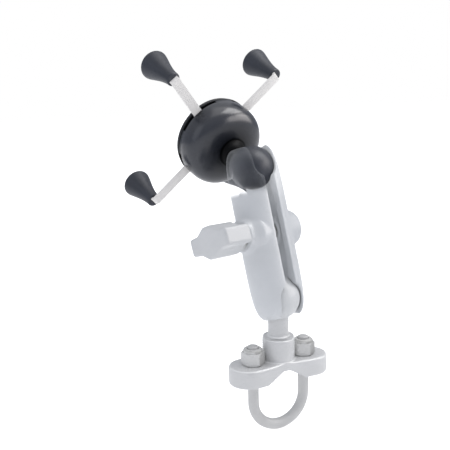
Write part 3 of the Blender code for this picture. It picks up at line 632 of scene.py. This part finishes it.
def cast(obj, voxel, passes):
    """Remeshes evenly and relaxes, which rounds every edge the way a coated casting's are."""
    mod = obj.modifiers.new("voxels", "REMESH")
    mod.mode = "VOXEL"
    mod.voxel_size = voxel
    mod.use_smooth_shade = True
    relax = obj.modifiers.new("relax", "SMOOTH")
    relax.factor = 0.5
    relax.iterations = passes
    bake(obj)
    obj.data.shade_smooth()


# ------------------------------------------------------------------ saddle
def saddle_outline(waist, lobe_x=20 * mm, lobe_r=11.5 * mm, steps=24):
    """Two round lobes on X, drawn in to a waist between them."""
    right = []
    for i in range(steps + 1):
        x = lobe_x * i / steps
        right.append((x, -(waist + (lobe_r - waist) * (1 - cos(pi * x / lobe_x)) / 2)))
    right += arc(lobe_x, 0, lobe_r, -90, 90, 40)[1:]
    right += [(x, -y) for x, y in right[steps - 1:0:-1]]
    return right + [(-x, -y) for x, y in right]


def saddle_plate():
    """The plate with its central boss, V groove, U-bolt holes and post bore."""
    boss_top, boss_r, skirt_r = 18.1 * mm, 9.4 * mm, 11.2 * mm
    waist = 9.9 * mm
    groove_top, groove_low = 2 * mm, 13.0 * mm      # half widths of the V
    extra = 2 * mm                                  # how far the V cutter runs past the plate
    hole_r, bore_r = 3.6 * mm, 4.3 * mm

    plate = prism("saddle_body", saddle_outline(waist), -V_HEIGHT, PLATE_TOP)
    bevel(plate, 1.4 * mm, 5, 50)
    boss = lathe("boss", rounded([      # radius, z, corner radius
        (0, boss_top), (boss_r, boss_top, 1.1 * mm), (boss_r, PLATE_TOP, 1.5 * mm),
        (skirt_r, PLATE_TOP - 0.1 * mm), (skirt_r, 1.6 * mm), (0, 1.6 * mm)], 8))
    trim = prism("trim", saddle_outline(waist - 0.05 * mm), -20 * mm, 40 * mm)
    boolean(boss, trim, "INTERSECT")
    join(plate, boss)
    deep = V_HEIGHT + extra
    wide = groove_top + (groove_low - groove_top) / V_HEIGHT * deep
    cut(plate,
        prism("v_cut", [(-groove_top, 0), (groove_top, 0), (wide, -deep), (-wide, -deep)],
              -30 * mm, 30 * mm, turn("X", pi / 2)),
        rod("hole_l", hole_r, -20 * mm, 20 * mm, 48, move(-LEG_SPAN / 2)),
        rod("hole_r", hole_r, -20 * mm, 20 * mm, 48, move(LEG_SPAN / 2)),
        rod("post_hole", bore_r, 5.5 * mm, 30 * mm, 48))
    cast(plate, 0.42 * mm, 4)
    place(plate, HERE, "base", BASE_CAST, "base_plate")


def saddle_post():
    """The lower ball's core, its neck, a collar with two flats, and a peg into the boss."""
    collar_z, collar_r = 18.4 * mm, NECK_R + 2.9 * mm
    peg_r, peg_end = 4.0 * mm, 6.5 * mm
    flat_y, flat_end = 6.8 * mm, 14 * mm
    profile = meridian(CORE_R, pi - NECK_ANGLE, 24, LOW_BALL_Z)
    profile += rounded([                # radius, z, corner radius
        (NECK_R, LOW_BALL_Z - CORE_R * cos(NECK_ANGLE) - 0.2 * mm),
        (NECK_R, collar_z + 0.4 * mm, 3.0 * mm), (collar_r, collar_z + 0.3 * mm),
        (collar_r, collar_z - 0.2 * mm, 0.12 * mm), (peg_r, collar_z - 0.2 * mm),
        (peg_r, peg_end + 1.0 * mm, 0.5 * mm), (3.2 * mm, peg_end), (0, peg_end)], 6)
    post = lathe("post_stem", profile)
    for side in (-1, 1):
        near, far = side * flat_y, side * flat_end
        outline = [(-flat_end, near), (flat_end, near), (flat_end, far), (-flat_end, far)]
        cut(post, prism("flat", outline, collar_z - 1.0 * mm, collar_z + 1.1 * mm,
                        turn("Z", radians(-31))))
    bevel(post, 0.22 * mm, 2, 50)
    place(shade(post), HERE, "base", BASE_CAST, "base_post")


def ball_cover(name):
    """Rubber over the ball's core, with a soft lip where the neck leaves it."""
    mouth, inner_r = NECK_R + 0.4 * mm, BALL_R - SKIN_T
    mouth_angle = asin(mouth / BALL_R)
    mouth_z = -BALL_R * cos(mouth_angle)
    outside = meridian(BALL_R, pi - mouth_angle - 0.02, 48)
    inside = meridian(inner_r, pi - asin(mouth / inner_r), 24)[::-1]
    edge_r, edge_z = outside[-1]
    lip = [(edge_r - 0.05 * mm, edge_z - 0.28 * mm),
           (mouth + 0.12 * mm, mouth_z + 0.02 * mm), (mouth, mouth_z + 0.25 * mm)]
    return lathe(name, outside + lip + inside)


# ------------------------------------------------------------------ U-bolt and its nuts
def u_bolt():
    bend_r, bottom = LEG_SPAN / 2, -35.9 * mm
    bend_z = bottom + bend_r
    leg_top, overlap = -7.0 * mm, 0.4 * mm
    heights = (leg_top, -10 * mm, -15 * mm)
    path = [(-bend_r, 0, z) for z in heights]
    for i in range(65):
        angle = pi + pi * i / 64
        path.append((bend_r * cos(angle), 0, bend_z + bend_r * sin(angle)))
    path += [(bend_r, 0, z) for z in heights[::-1]]
    bolt = tube("u_bolt_rod", path, ROD_R, 40)
    for side in (-1, 1):
        thread = threaded("thread", 22.4 * mm + overlap, ROD_R, 0.55 * mm, 40, fade_in=True)
        thread.data.transform(move(side * bend_r, 0, leg_top - overlap))
        join(bolt, thread)
    place(shade(bolt, 50), HERE, "u_bolt", ROD, "u_bolt")


def lock_nut(name, x, angle, body, node):
    """A chamfered hexagon with a round collar on top and a seat for the nylon ring."""
    high, flats = 7.2 * mm, 12.0 * mm
    collar_top = high + 1.9 * mm
    corner_r = flats / sqrt(3) + 0.06 * mm
    nut = prism(name, hexagon(flats), 0, high)
    chamfers = lathe("chamfers", rounded([
        (0, high), (flats / 2 + 0.05 * mm, high), (corner_r, high - 0.6 * mm),
        (corner_r, 0.4 * mm), (flats / 2 + 0.2 * mm, 0), (0, 0)], 4), 72)
    boolean(nut, chamfers, "INTERSECT")
    join(nut, lathe("collar", rounded([     # radius, z, corner radius
        (0, collar_top), (5.0 * mm, collar_top, 0.25 * mm),
        (5.55 * mm, collar_top - 0.6 * mm, 0.3 * mm),
        (5.7 * mm, high - 1 * mm), (0, high - 1 * mm)], 6), 72))
    cut(nut, rod("bore", 3.42 * mm, -5 * mm, 20 * mm, 48),
        rod("seat", 4.75 * mm, high - 0.6 * mm, high + 1.0 * mm, 48))
    bevel(nut, 0.16 * mm, 2, 35)
    matrix = move(x, 0, PLATE_TOP + GAP) @ turn("Z", angle)
    place(shade(nut, 35), matrix, body, ZINC, node)


# ------------------------------------------------------------------ clamp arm
# Each shell's boss: distance from the bolt's axis, distance out along X, corner radius
FAR_BOSS_PROFILE = [
    (0, FAR_BOSS), (10.4 * mm, FAR_BOSS, 1.9 * mm), (10.85 * mm, 6.3 * mm), (0, 6.3 * mm)]
NEAR_BOSS_PROFILE = [
    (0, NEAR_BOSS), (9.4 * mm, NEAR_BOSS, 0.7 * mm), (10.0 * mm, 14.8 * mm, 5 * mm),
    (13.0 * mm, 10.8 * mm, 3 * mm), (13.2 * mm, 6 * mm), (0, 6 * mm)]


def arm_shell(name, side, boss_profile, mat, node, body):
    """Half of the arm: the far one on +X (side 1), the near one on -X (side -1)."""
    shell = superellipsoid(name, SHELL_LONG, SHELL_DEEP, SHELL_WIDE, 5.6, 2.3, 96, 72)
    boss = lathe("arm_boss", rounded(boss_profile, 8))
    boss.data.transform(ALONG_X if side > 0 else ALONG_MINUS_X)
    join(shell, boss)

    # The hollow leaves a solid tube round the bolt
    hollow = superellipsoid("hollow", 30 * mm, SHELL_DEEP - 3.4 * mm, SHELL_WIDE - 4.3 * mm,
                            4.0, 2.6, 48, 32)
    cut(hollow, rod("tube", 8.2 * mm, -20 * mm, 20 * mm, 48, ALONG_X))
    cut(shell, hollow)

    # Everything past the seam goes
    reach, half_y = 90 * mm, 50 * mm
    left, right = sorted((-side * reach, side * SEAM))
    outline = [(left, -half_y), (right, -half_y), (right, half_y), (left, half_y)]
    cut(shell, prism("away", outline, -reach, reach))

    # At each end: the ball's socket, a notch out through the end, and a flared mouth
    notch_r, notch_end = 7.9 * mm, 40 * mm
    slot = arc(0, 0.3 * mm, notch_r, 180, 360, 40)
    slot += [(notch_r, notch_end), (-notch_r, notch_end)]
    for end in (-1, 1):
        z = end * BALL_SPAN / 2
        outward = move(z=z) @ (turn("X", pi) if end < 0 else HERE)
        cut(shell,
            ball("socket", 13.0 * mm, (0, 0, z)),
            prism("notch", slot, -30 * mm, 30 * mm, move(z=z) @ turn("X", end * pi / 2)),
            cone("mouth", 8.2 * mm, 12.2 * mm, 7.5 * mm, 17.5 * mm, 64, outward))

    cut(shell, rod("seat", 6.3 * mm, -8.6 * mm, 8.6 * mm, 48, ALONG_X))
    cut(shell, rod("bore", 3.4 * mm, -40 * mm, 40 * mm, 32, ALONG_X))
    if side > 0:
        cut(shell, prism("pocket", hexagon(11.8 * mm), FAR_BOSS - 4.8 * mm, FAR_BOSS + 6 * mm,
                         ALONG_X))
    cast(shell, 0.42 * mm, 3)
    place(shell, CLAMP, body, mat, node)


def clamp_bolt():
    """The hexagon head in the far shell's pocket, with its threaded shank towards -X."""
    top, low = FAR_BOSS - 0.5 * mm, FAR_BOSS - 4.5 * mm
    corner_r = 6.6 * mm
    bolt = prism("clamp_bolt_head", hexagon(11.1 * mm), low, top)
    chamfer = lathe("bolt_chamfer", [(0, top), (5.3 * mm, top), (corner_r, top - 0.8 * mm),
                                     (corner_r, 0), (0, 0)], 72)
    boolean(bolt, chamfer, "INTERSECT")
    shank = threaded("shank", 54.0 * mm, 3.1 * mm, 0.5 * mm, 32, fade_in=False)
    shank.data.transform(move(z=FAR_BOSS - 3 * mm) @ turn("X", pi))
    join(bolt, shank)
    place(shade(bolt, 35), CLAMP @ ALONG_X, "arm_far", ZINC, "clamp_bolt")


def coil(name, radius, length, turns, start, matrix, body, node):
    """An open spring about Z; start is the angle its wire begins at."""
    steps = turns * 32
    points = [(*polar(radius, 2 * pi * turns * i / steps + start),
               -length / 2 + length * i / steps) for i in range(steps + 1)]
    place(tube(name, points, 0.6 * mm, 12), matrix, body, SPRING, node)


def knob():
    """A two-winged grip on a round hub, out along -X, with a hexagon socket."""
    half_long, tip, middle = 17.3 * mm, 5.0 * mm, 9.2 * mm
    hub_shoulder, hub_end = KNOB_IN + 4 * mm, KNOB_IN + 9 * mm
    quarter = [                         # x, y, corner radius
        (middle, 0.0), (middle, 3.0 * mm, 2.5 * mm),
        (tip + 0.5 * mm, 9.6 * mm, 3.5 * mm), (tip, half_long, 1.8 * mm)]
    right = [(x, -y, *corner) for x, y, *corner in quarter[:0:-1]] + quarter
    outline = right + [(-x, -y, *corner) for x, y, *corner in right]
    wing = prism("knob_grip", rounded(outline, 7, True), hub_shoulder, KNOB_OUT, ALONG_MINUS_X)
    bevel(wing, 1.1 * mm, 4, 50)
    hub = lathe("knob_hub", rounded([
        (0, KNOB_IN), (7.3 * mm, KNOB_IN, 0.6 * mm), (7.9 * mm, hub_shoulder),
        (8.2 * mm, hub_end), (0, hub_end)], 4), 72)
    hub.data.transform(ALONG_MINUS_X)
    join(wing, hub)
    socket_corners = 10.6 * mm
    cut(wing, prism("socket", hexagon(socket_corners * cos(pi / 6)),
                    KNOB_IN - 5 * mm, KNOB_OUT - 3 * mm, ALONG_MINUS_X))
    cast(wing, 0.36 * mm, 3)
    place(wing, KNOB, "knob", GRIP, "knob_body")


def knob_washer():
    bore_r, outer_r, corner = 3.4 * mm, 6.8 * mm, 0.2 * mm
    inner, outer = NEAR_BOSS + GAP, KNOB_IN - GAP
    washer = lathe("knob_washer_disc", rounded([
        (bore_r, inner), (outer_r, inner, corner), (outer_r, outer, corner), (bore_r, outer)],
        3), 72, ring=True)
    washer.data.transform(ALONG_MINUS_X)
    place(washer, CLAMP, "arm_near", ZINC, "knob_washer")


# ------------------------------------------------------------------ cradle hub
def cradle_stem():
    """The upper ball's core, its neck flaring into the dome, and a flange inside it."""
    flare_z, flare_r, flare_long = 30.0 * mm, 2.8 * mm, 5.5 * mm
    bore_r, flange_r = 4.4 * mm, 7.5 * mm
    flange_top = DOME_APEX - DOME_WALL - GAP
    flange_low = flange_top - 2.0 * mm
    profile = meridian(CORE_R, pi - NECK_ANGLE, 24, BALL_TO_PAD)
    profile.append((NECK_R, flare_z))
    for i in range(1, 11):
        angle = pi / 2 * i / 10
        profile.append((NECK_R + flare_r * (1 - cos(angle)), flare_z - flare_long * sin(angle)))
    profile += [(bore_r, DOME_APEX + 0.35 * mm), (bore_r, flange_top),
                (flange_r, flange_top), (flange_r, flange_low), (0, flange_low)]
    place(lathe("cradle_stem", profile), HUB, "cradle", STEM, "cradle_post")


def dome_curve(inset, low, steps):
    """A superellipse of exponent 3 from the apex to the shoulder, then straight to low."""
    radius, rise = HUB_R - inset, DOME_APEX - inset - DOME_SHOULDER
    points = [(0.0, DOME_SHOULDER + rise)]
    for i in range(1, steps + 1):
        angle = pi / 2 * (1 - i / steps)
        points.append((radius * cos(angle) ** (2 / 3),
                       DOME_SHOULDER + rise * sin(angle) ** (2 / 3)))
    return points + [(radius, low)]


def hub_dome():
    """The dark shell, with a bore for the stem and a window for each end of the legs."""
    low = DISC_HIGH + GAP
    chamfer = 0.25 * mm
    inner = dome_curve(DOME_WALL, low, 20)
    outer = dome_curve(0, low, 40)
    outer[-1] = (HUB_R, low + chamfer)
    dome = lathe("hub_shell", outer + [(HUB_R - chamfer, low)] + inner[::-1], 160)
    cut(dome, rod("post_bore", 4.7 * mm, 10 * mm, 40 * mm, 48))
    half, near_r, far_r = radians(30), 8 * mm, 36 * mm
    wedge = [polar(near_r, -half)]
    wedge += [polar(far_r, half * i / 6) for i in range(-6, 7)]
    wedge += [polar(near_r, half)]
    window_high = LEG_Z + LEG_THICK / 2 + 0.3 * mm
    for angle in (RISING, FALLING, RISING + pi, FALLING + pi):
        cut(dome, prism("window", wedge, low - 2 * mm, window_high, turn("Z", angle)))
    bevel(dome, 0.18 * mm, 2, 55)
    place(shade(dome, 45), HUB, "cradle", DOME, "hub_dome")


def hub_disc():
    """The disc that closes the dome: a pivot peg above, a pad recess and screw holes below."""
    recess_r, recess_z = 18.9 * mm, 1.8 * mm
    peg_r, peg_top, bore_r = 4.0 * mm, 8.6 * mm, 2.1 * mm
    screw_ring_r = 15.4 * mm
    disc = lathe("hub_disc", rounded([      # radius, z, corner radius
        (0, recess_z + 1 * mm), (bore_r, recess_z + 1 * mm), (bore_r, peg_top),
        (peg_r, peg_top, 0.3 * mm), (peg_r, DISC_HIGH),
        (HUB_R + 0.3 * mm, DISC_HIGH, 0.5 * mm), (HUB_R - 0.9 * mm, DISC_LOW, 1.0 * mm),
        (recess_r, DISC_LOW, 0.3 * mm), (recess_r, recess_z), (0, recess_z)], 4), 160)
    for i in range(4):
        spot = move(*polar(screw_ring_r, pi / 2 * i))
        cut(disc, rod("hole", 1.75 * mm, -1 * mm, 8 * mm, 24, spot),
            rod("seat", 3.1 * mm, -1 * mm, recess_z + 1.4 * mm, 32, spot))
    place(shade(disc, 40), HUB, "cradle", RIM, "hub_base")


def phone_pad():
    """A rubber disc with four ring-shaped V grooves in its face."""
    radius, thick = 18.6 * mm, 1.5 * mm
    profile = [(0, 0)]
    for i in range(4):
        start = (2 + 4.3 * i) * mm
        profile += [(start, 0), (start + 0.4 * mm, 0.25 * mm), (start + 0.8 * mm, 0)]
    profile += [(radius, 0, 0.4 * mm), (radius, thick), (0, thick)]
    pad = lathe("phone_pad", rounded(profile, 4), 128)
    place(pad, HUB, "cradle", PAD, "hub_pad")


# ------------------------------------------------------------------ legs and caps
def leg(name, eye_z, angle, body, node):
    """A flat bar through the hub with a tab turned down at each end and an eye in the middle.

    An eye above the bar is reached by a bend on each side of it.
    """
    low, high = LEG_Z - LEG_THICK / 2, LEG_Z + LEG_THICK / 2
    inner, outer = LEG_REACH - LEG_THICK / 2, LEG_REACH + LEG_THICK / 2
    step = eye_z - LEG_Z
    bend_in, bend_out, bend_r = 9.4 * mm, 13.6 * mm, 3 * mm
    side = [(inner, low, 0.7 * mm), (inner, TAB_END_Z, 0.0),
            (outer, TAB_END_Z, 0.0), (outer, high, 2.3 * mm)]
    if step:
        side = [(bend_in, low + step, bend_r), (bend_out, low, bend_r), *side,
                (bend_out, high, bend_r), (bend_in, high + step, bend_r)]
    outline = side + [(-x, z, corner) for x, z, corner in side[::-1]]
    bar = prism(name, rounded(outline, 8, True), -LEG_WIDE / 2, LEG_WIDE / 2, turn("X", pi / 2))
    join(bar, rod("eye", 8.4 * mm, eye_z - LEG_THICK / 2, eye_z + LEG_THICK / 2, 64))
    cut(bar, rod("eye_bore", 4.3 * mm, low - 5 * mm, high + 9 * mm, 48))
    bevel(bar, 0.28 * mm, 3, 50)
    place(shade(bar, 35), HUB @ turn("Z", angle), body, STEEL, node)


def cap(name, angle, body, node):
    """A rubber cap over a leg's tab, flaring from its waist to a round foot."""
    top, corner, lip = LEG_Z - LEG_THICK / 2 - 0.5 * mm, 0.9 * mm, 1.15 * mm
    start, flare_long = top - 1.0 * mm, CAP_LONG - 2.6 * mm
    profile = [(0, top), (CAP_WAIST_R - corner, top)]
    profile += arc(CAP_WAIST_R - corner, top - corner, corner, 80, 5, 5)
    for i in range(1, 37):
        share = i / 36
        flare = 1 - (1 - share ** 1.7) ** 1.22
        profile.append((CAP_WAIST_R + (CAP_FLARE_R - CAP_WAIST_R) * flare,
                        start - flare_long * share))
    end = start - flare_long
    profile += arc(CAP_FLARE_R - lip, end - 0.1 * mm, lip, 0, -90, 8)
    foot = end - 1.25 * mm
    profile += [(6.3 * mm, foot - 0.05 * mm), (6.0 * mm, foot + 0.2 * mm),
                (5.6 * mm, foot + 0.2 * mm), (5.3 * mm, foot - 0.15 * mm),
                (3.2 * mm, foot - 0.3 * mm), (0, foot - 0.35 * mm)]
    tip = lathe(name, profile)
    slack = 0.12 * mm
    half_x, half_y = LEG_THICK / 2 + slack, LEG_WIDE / 2 + slack
    slot = [(-half_x, -half_y), (half_x, -half_y), (half_x, half_y), (-half_x, half_y)]
    cut(tip, prism("slot", slot, TAB_END_Z - GAP, top + 5 * mm))
    matrix = HUB @ move(*polar(LEG_REACH, angle)) @ turn("Z", angle)
    place(shade(tip, 50), matrix, body, RUBBER, node)


# ------------------------------------------------------------------ build the mount
saddle_plate()
saddle_post()
place(ball_cover("lower_ball_skin"), LOW_BALL, "lower_ball_cover", PALE_RUBBER,
      "base_ball")
u_bolt()
lock_nut("nut_left_body", -LEG_SPAN / 2, radians(32.7), "left_nut", "nut_left")
lock_nut("nut_right_body", LEG_SPAN / 2, radians(33), "right_nut", "nut_right")

arm_shell("far_shell_body", 1, FAR_BOSS_PROFILE, FAR_PALE, "arm_shell_far", "arm_far")
arm_shell("near_shell_body", -1, NEAR_BOSS_PROFILE, CAST_CLEAR, "arm_shell_near", "arm_near")
clamp_bolt()
coil("arm_spring_wire", radius=5.0 * mm, length=15.0 * mm, turns=5, start=0.0,
     matrix=CLAMP @ ALONG_X, body="arm_far", node="arm_spring")
knob()
knob_washer()

place(ball_cover("upper_ball_skin"), TOP_BALL, "upper_ball_cover", BALL_RUBBER,
      "cradle_ball")
cradle_stem()
hub_dome()
hub_disc()
phone_pad()
leg("falling_bar", LEG_Z, FALLING, "falling_leg", "leg_falling")
leg("rising_bar", RAISED_EYE_Z, RISING, "rising_leg", "leg_rising")
cap("tip_upper_left", FALLING, "falling_leg", "cap_upper_left")
cap("tip_lower_right", FALLING + pi, "falling_leg", "cap_lower_right")
cap("tip_upper_right", RISING, "rising_leg", "cap_upper_right")
cap("tip_lower_left", RISING + pi, "rising_leg", "cap_lower_left")
coil("leg_spring_wire", radius=8.0 * mm, length=4.2 * mm, turns=3, start=0.6,
     matrix=HUB @ move(z=12.0 * mm), body="cradle", node="leg_spring")

# CAD pieces kept as they are, with a material each
KEPT = {
    "nut_ring_left": NYLON, "nut_ring_right": NYLON, "knob_insert": ZINC,
    "hub_screw_1": ZINC, "hub_screw_2": ZINC, "hub_screw_3": ZINC, "hub_screw_4": ZINC,
    "pivot_screw": ZINC, "pivot_washer": ZINC,
}
for kept_name, kept_mat in KEPT.items():
    materials = frame["nodes"][kept_name].data.materials
    materials.clear()
    materials.append(kept_mat)


# ------------------------------------------------------------------ stage, light, camera
CAMERA_PLACE = Vector((-222.10, -366.30, 171.15)) * mm
CAMERA_RIGHT = Vector((0.8871, -0.4613, -0.0189))
CAMERA_UP = Vector((0.1082, 0.1679, 0.9798))
CAMERA_BACK = Vector((-0.4488, -0.8712, 0.1989))
LIT_POINT = Vector((0, 25 * mm, 85 * mm))
WHITE = (1, 1, 1, 1)
scene = bpy.context.scene


def pale_floor():
    """A near-white plane that glows more to the camera than it lights the mount."""
    bpy.ops.mesh.primitive_plane_add(size=6.0, location=(0, 0, -39.3 * mm))
    floor = bpy.context.object
    floor.name = "floor"
    mat = new_material("pale_floor")
    graph = Graph(mat)
    to_camera = graph.add("LightPath", "Is Camera Ray")
    graph.feed(graph.main, {
        "Base Color": (0.92, 0.92, 0.925, 1), "Roughness": 0.9, "Specular IOR Level": 0.1,
        "Emission Color": WHITE,
        "Emission Strength": graph.map_range(to_camera, low=0.35, high=0.85)})
    floor.data.materials.append(mat)


def studio_world():
    """White to the camera; to the mount, warm below, dim blue at the horizon, bright above."""
    world = bpy.data.worlds.new("studio")
    scene.world = world
    world.use_nodes = True
    graph = Graph(world, "Background")
    height = graph.height(graph.add("TexCoord", "Generated"))
    sky = graph.ramp(graph.map_range(height, start=-1.0, end=1.0), [
        (0.0, (0.40, 0.385, 0.36)), (1.0, (0.80, 0.81, 0.83)), (0.5, (0.34, 0.36, 0.41))])
    to_camera = graph.add("LightPath", "Is Camera Ray")
    graph.feed(graph.main, {"Color": graph.mix(to_camera, sky, WHITE), "Strength": 1.0})


def add_camera():
    data = bpy.data.cameras.new("camera")
    data.sensor_width = 36.0
    data.lens = 61.963
    data.clip_start = 0.01
    camera = bpy.data.objects.new("camera", data)
    scene.collection.objects.link(camera)
    pose = Matrix((CAMERA_RIGHT, CAMERA_UP, CAMERA_BACK)).transposed().to_4x4()
    pose.translation = CAMERA_PLACE
    camera.matrix_world = pose
    scene.camera = camera


def softbox(name, direction, distance, width, height, energy, colour, diffuse=True):
    """An area light; direction is (right, up, towards the camera) as the camera sees it."""
    data = bpy.data.lights.new(name, "AREA")
    data.shape = "RECTANGLE"
    data.size = width
    data.size_y = height
    data.energy = energy
    data.color = colour
    lamp = bpy.data.objects.new(name, data)
    scene.collection.objects.link(lamp)
    right, up, back = direction
    offset = CAMERA_RIGHT * right + CAMERA_UP * up + CAMERA_BACK * back
    offset = offset.normalized() * distance
    lamp.location = LIT_POINT + offset
    lamp.rotation_euler = offset.to_track_quat("Z", "Y").to_euler()
    lamp.visible_diffuse = diffuse


pale_floor()
studio_world()
add_camera()
softbox("key", (0.85, 0.62, 0.10), distance=0.75, width=0.34, height=0.34,
        energy=1.25, colour=(1.0, 0.97, 0.93))
softbox("broad_gloss", (0.93, 0.27, 0.22), distance=0.80, width=0.80, height=0.34,
        energy=4.2, colour=(1.0, 0.955, 0.93), diffuse=False)
softbox("top", (0.15, 0.97, 0.2), distance=0.8, width=0.7, height=0.7,
        energy=1.9, colour=(1.0, 0.99, 0.98))
softbox("rim_gloss", (0.5, 0.82, 0.18), distance=0.8, width=0.5, height=0.5,
        energy=4.5, colour=(1.0, 0.99, 0.98), diffuse=False)
softbox("left_fill", (-1.0, 0.35, 0.7), distance=0.9, width=0.6, height=0.6,
        energy=0.8, colour=(0.90, 0.94, 1.0))

scene.cycles.denoising_input_passes = "RGB"
scene.cycles.sample_clamp_indirect = 2.0
scene.view_settings.view_transform = "Standard"
scene.view_settings.look = "None"
scene.view_settings.exposure = 0.0

bpy.context.view_layer.update()
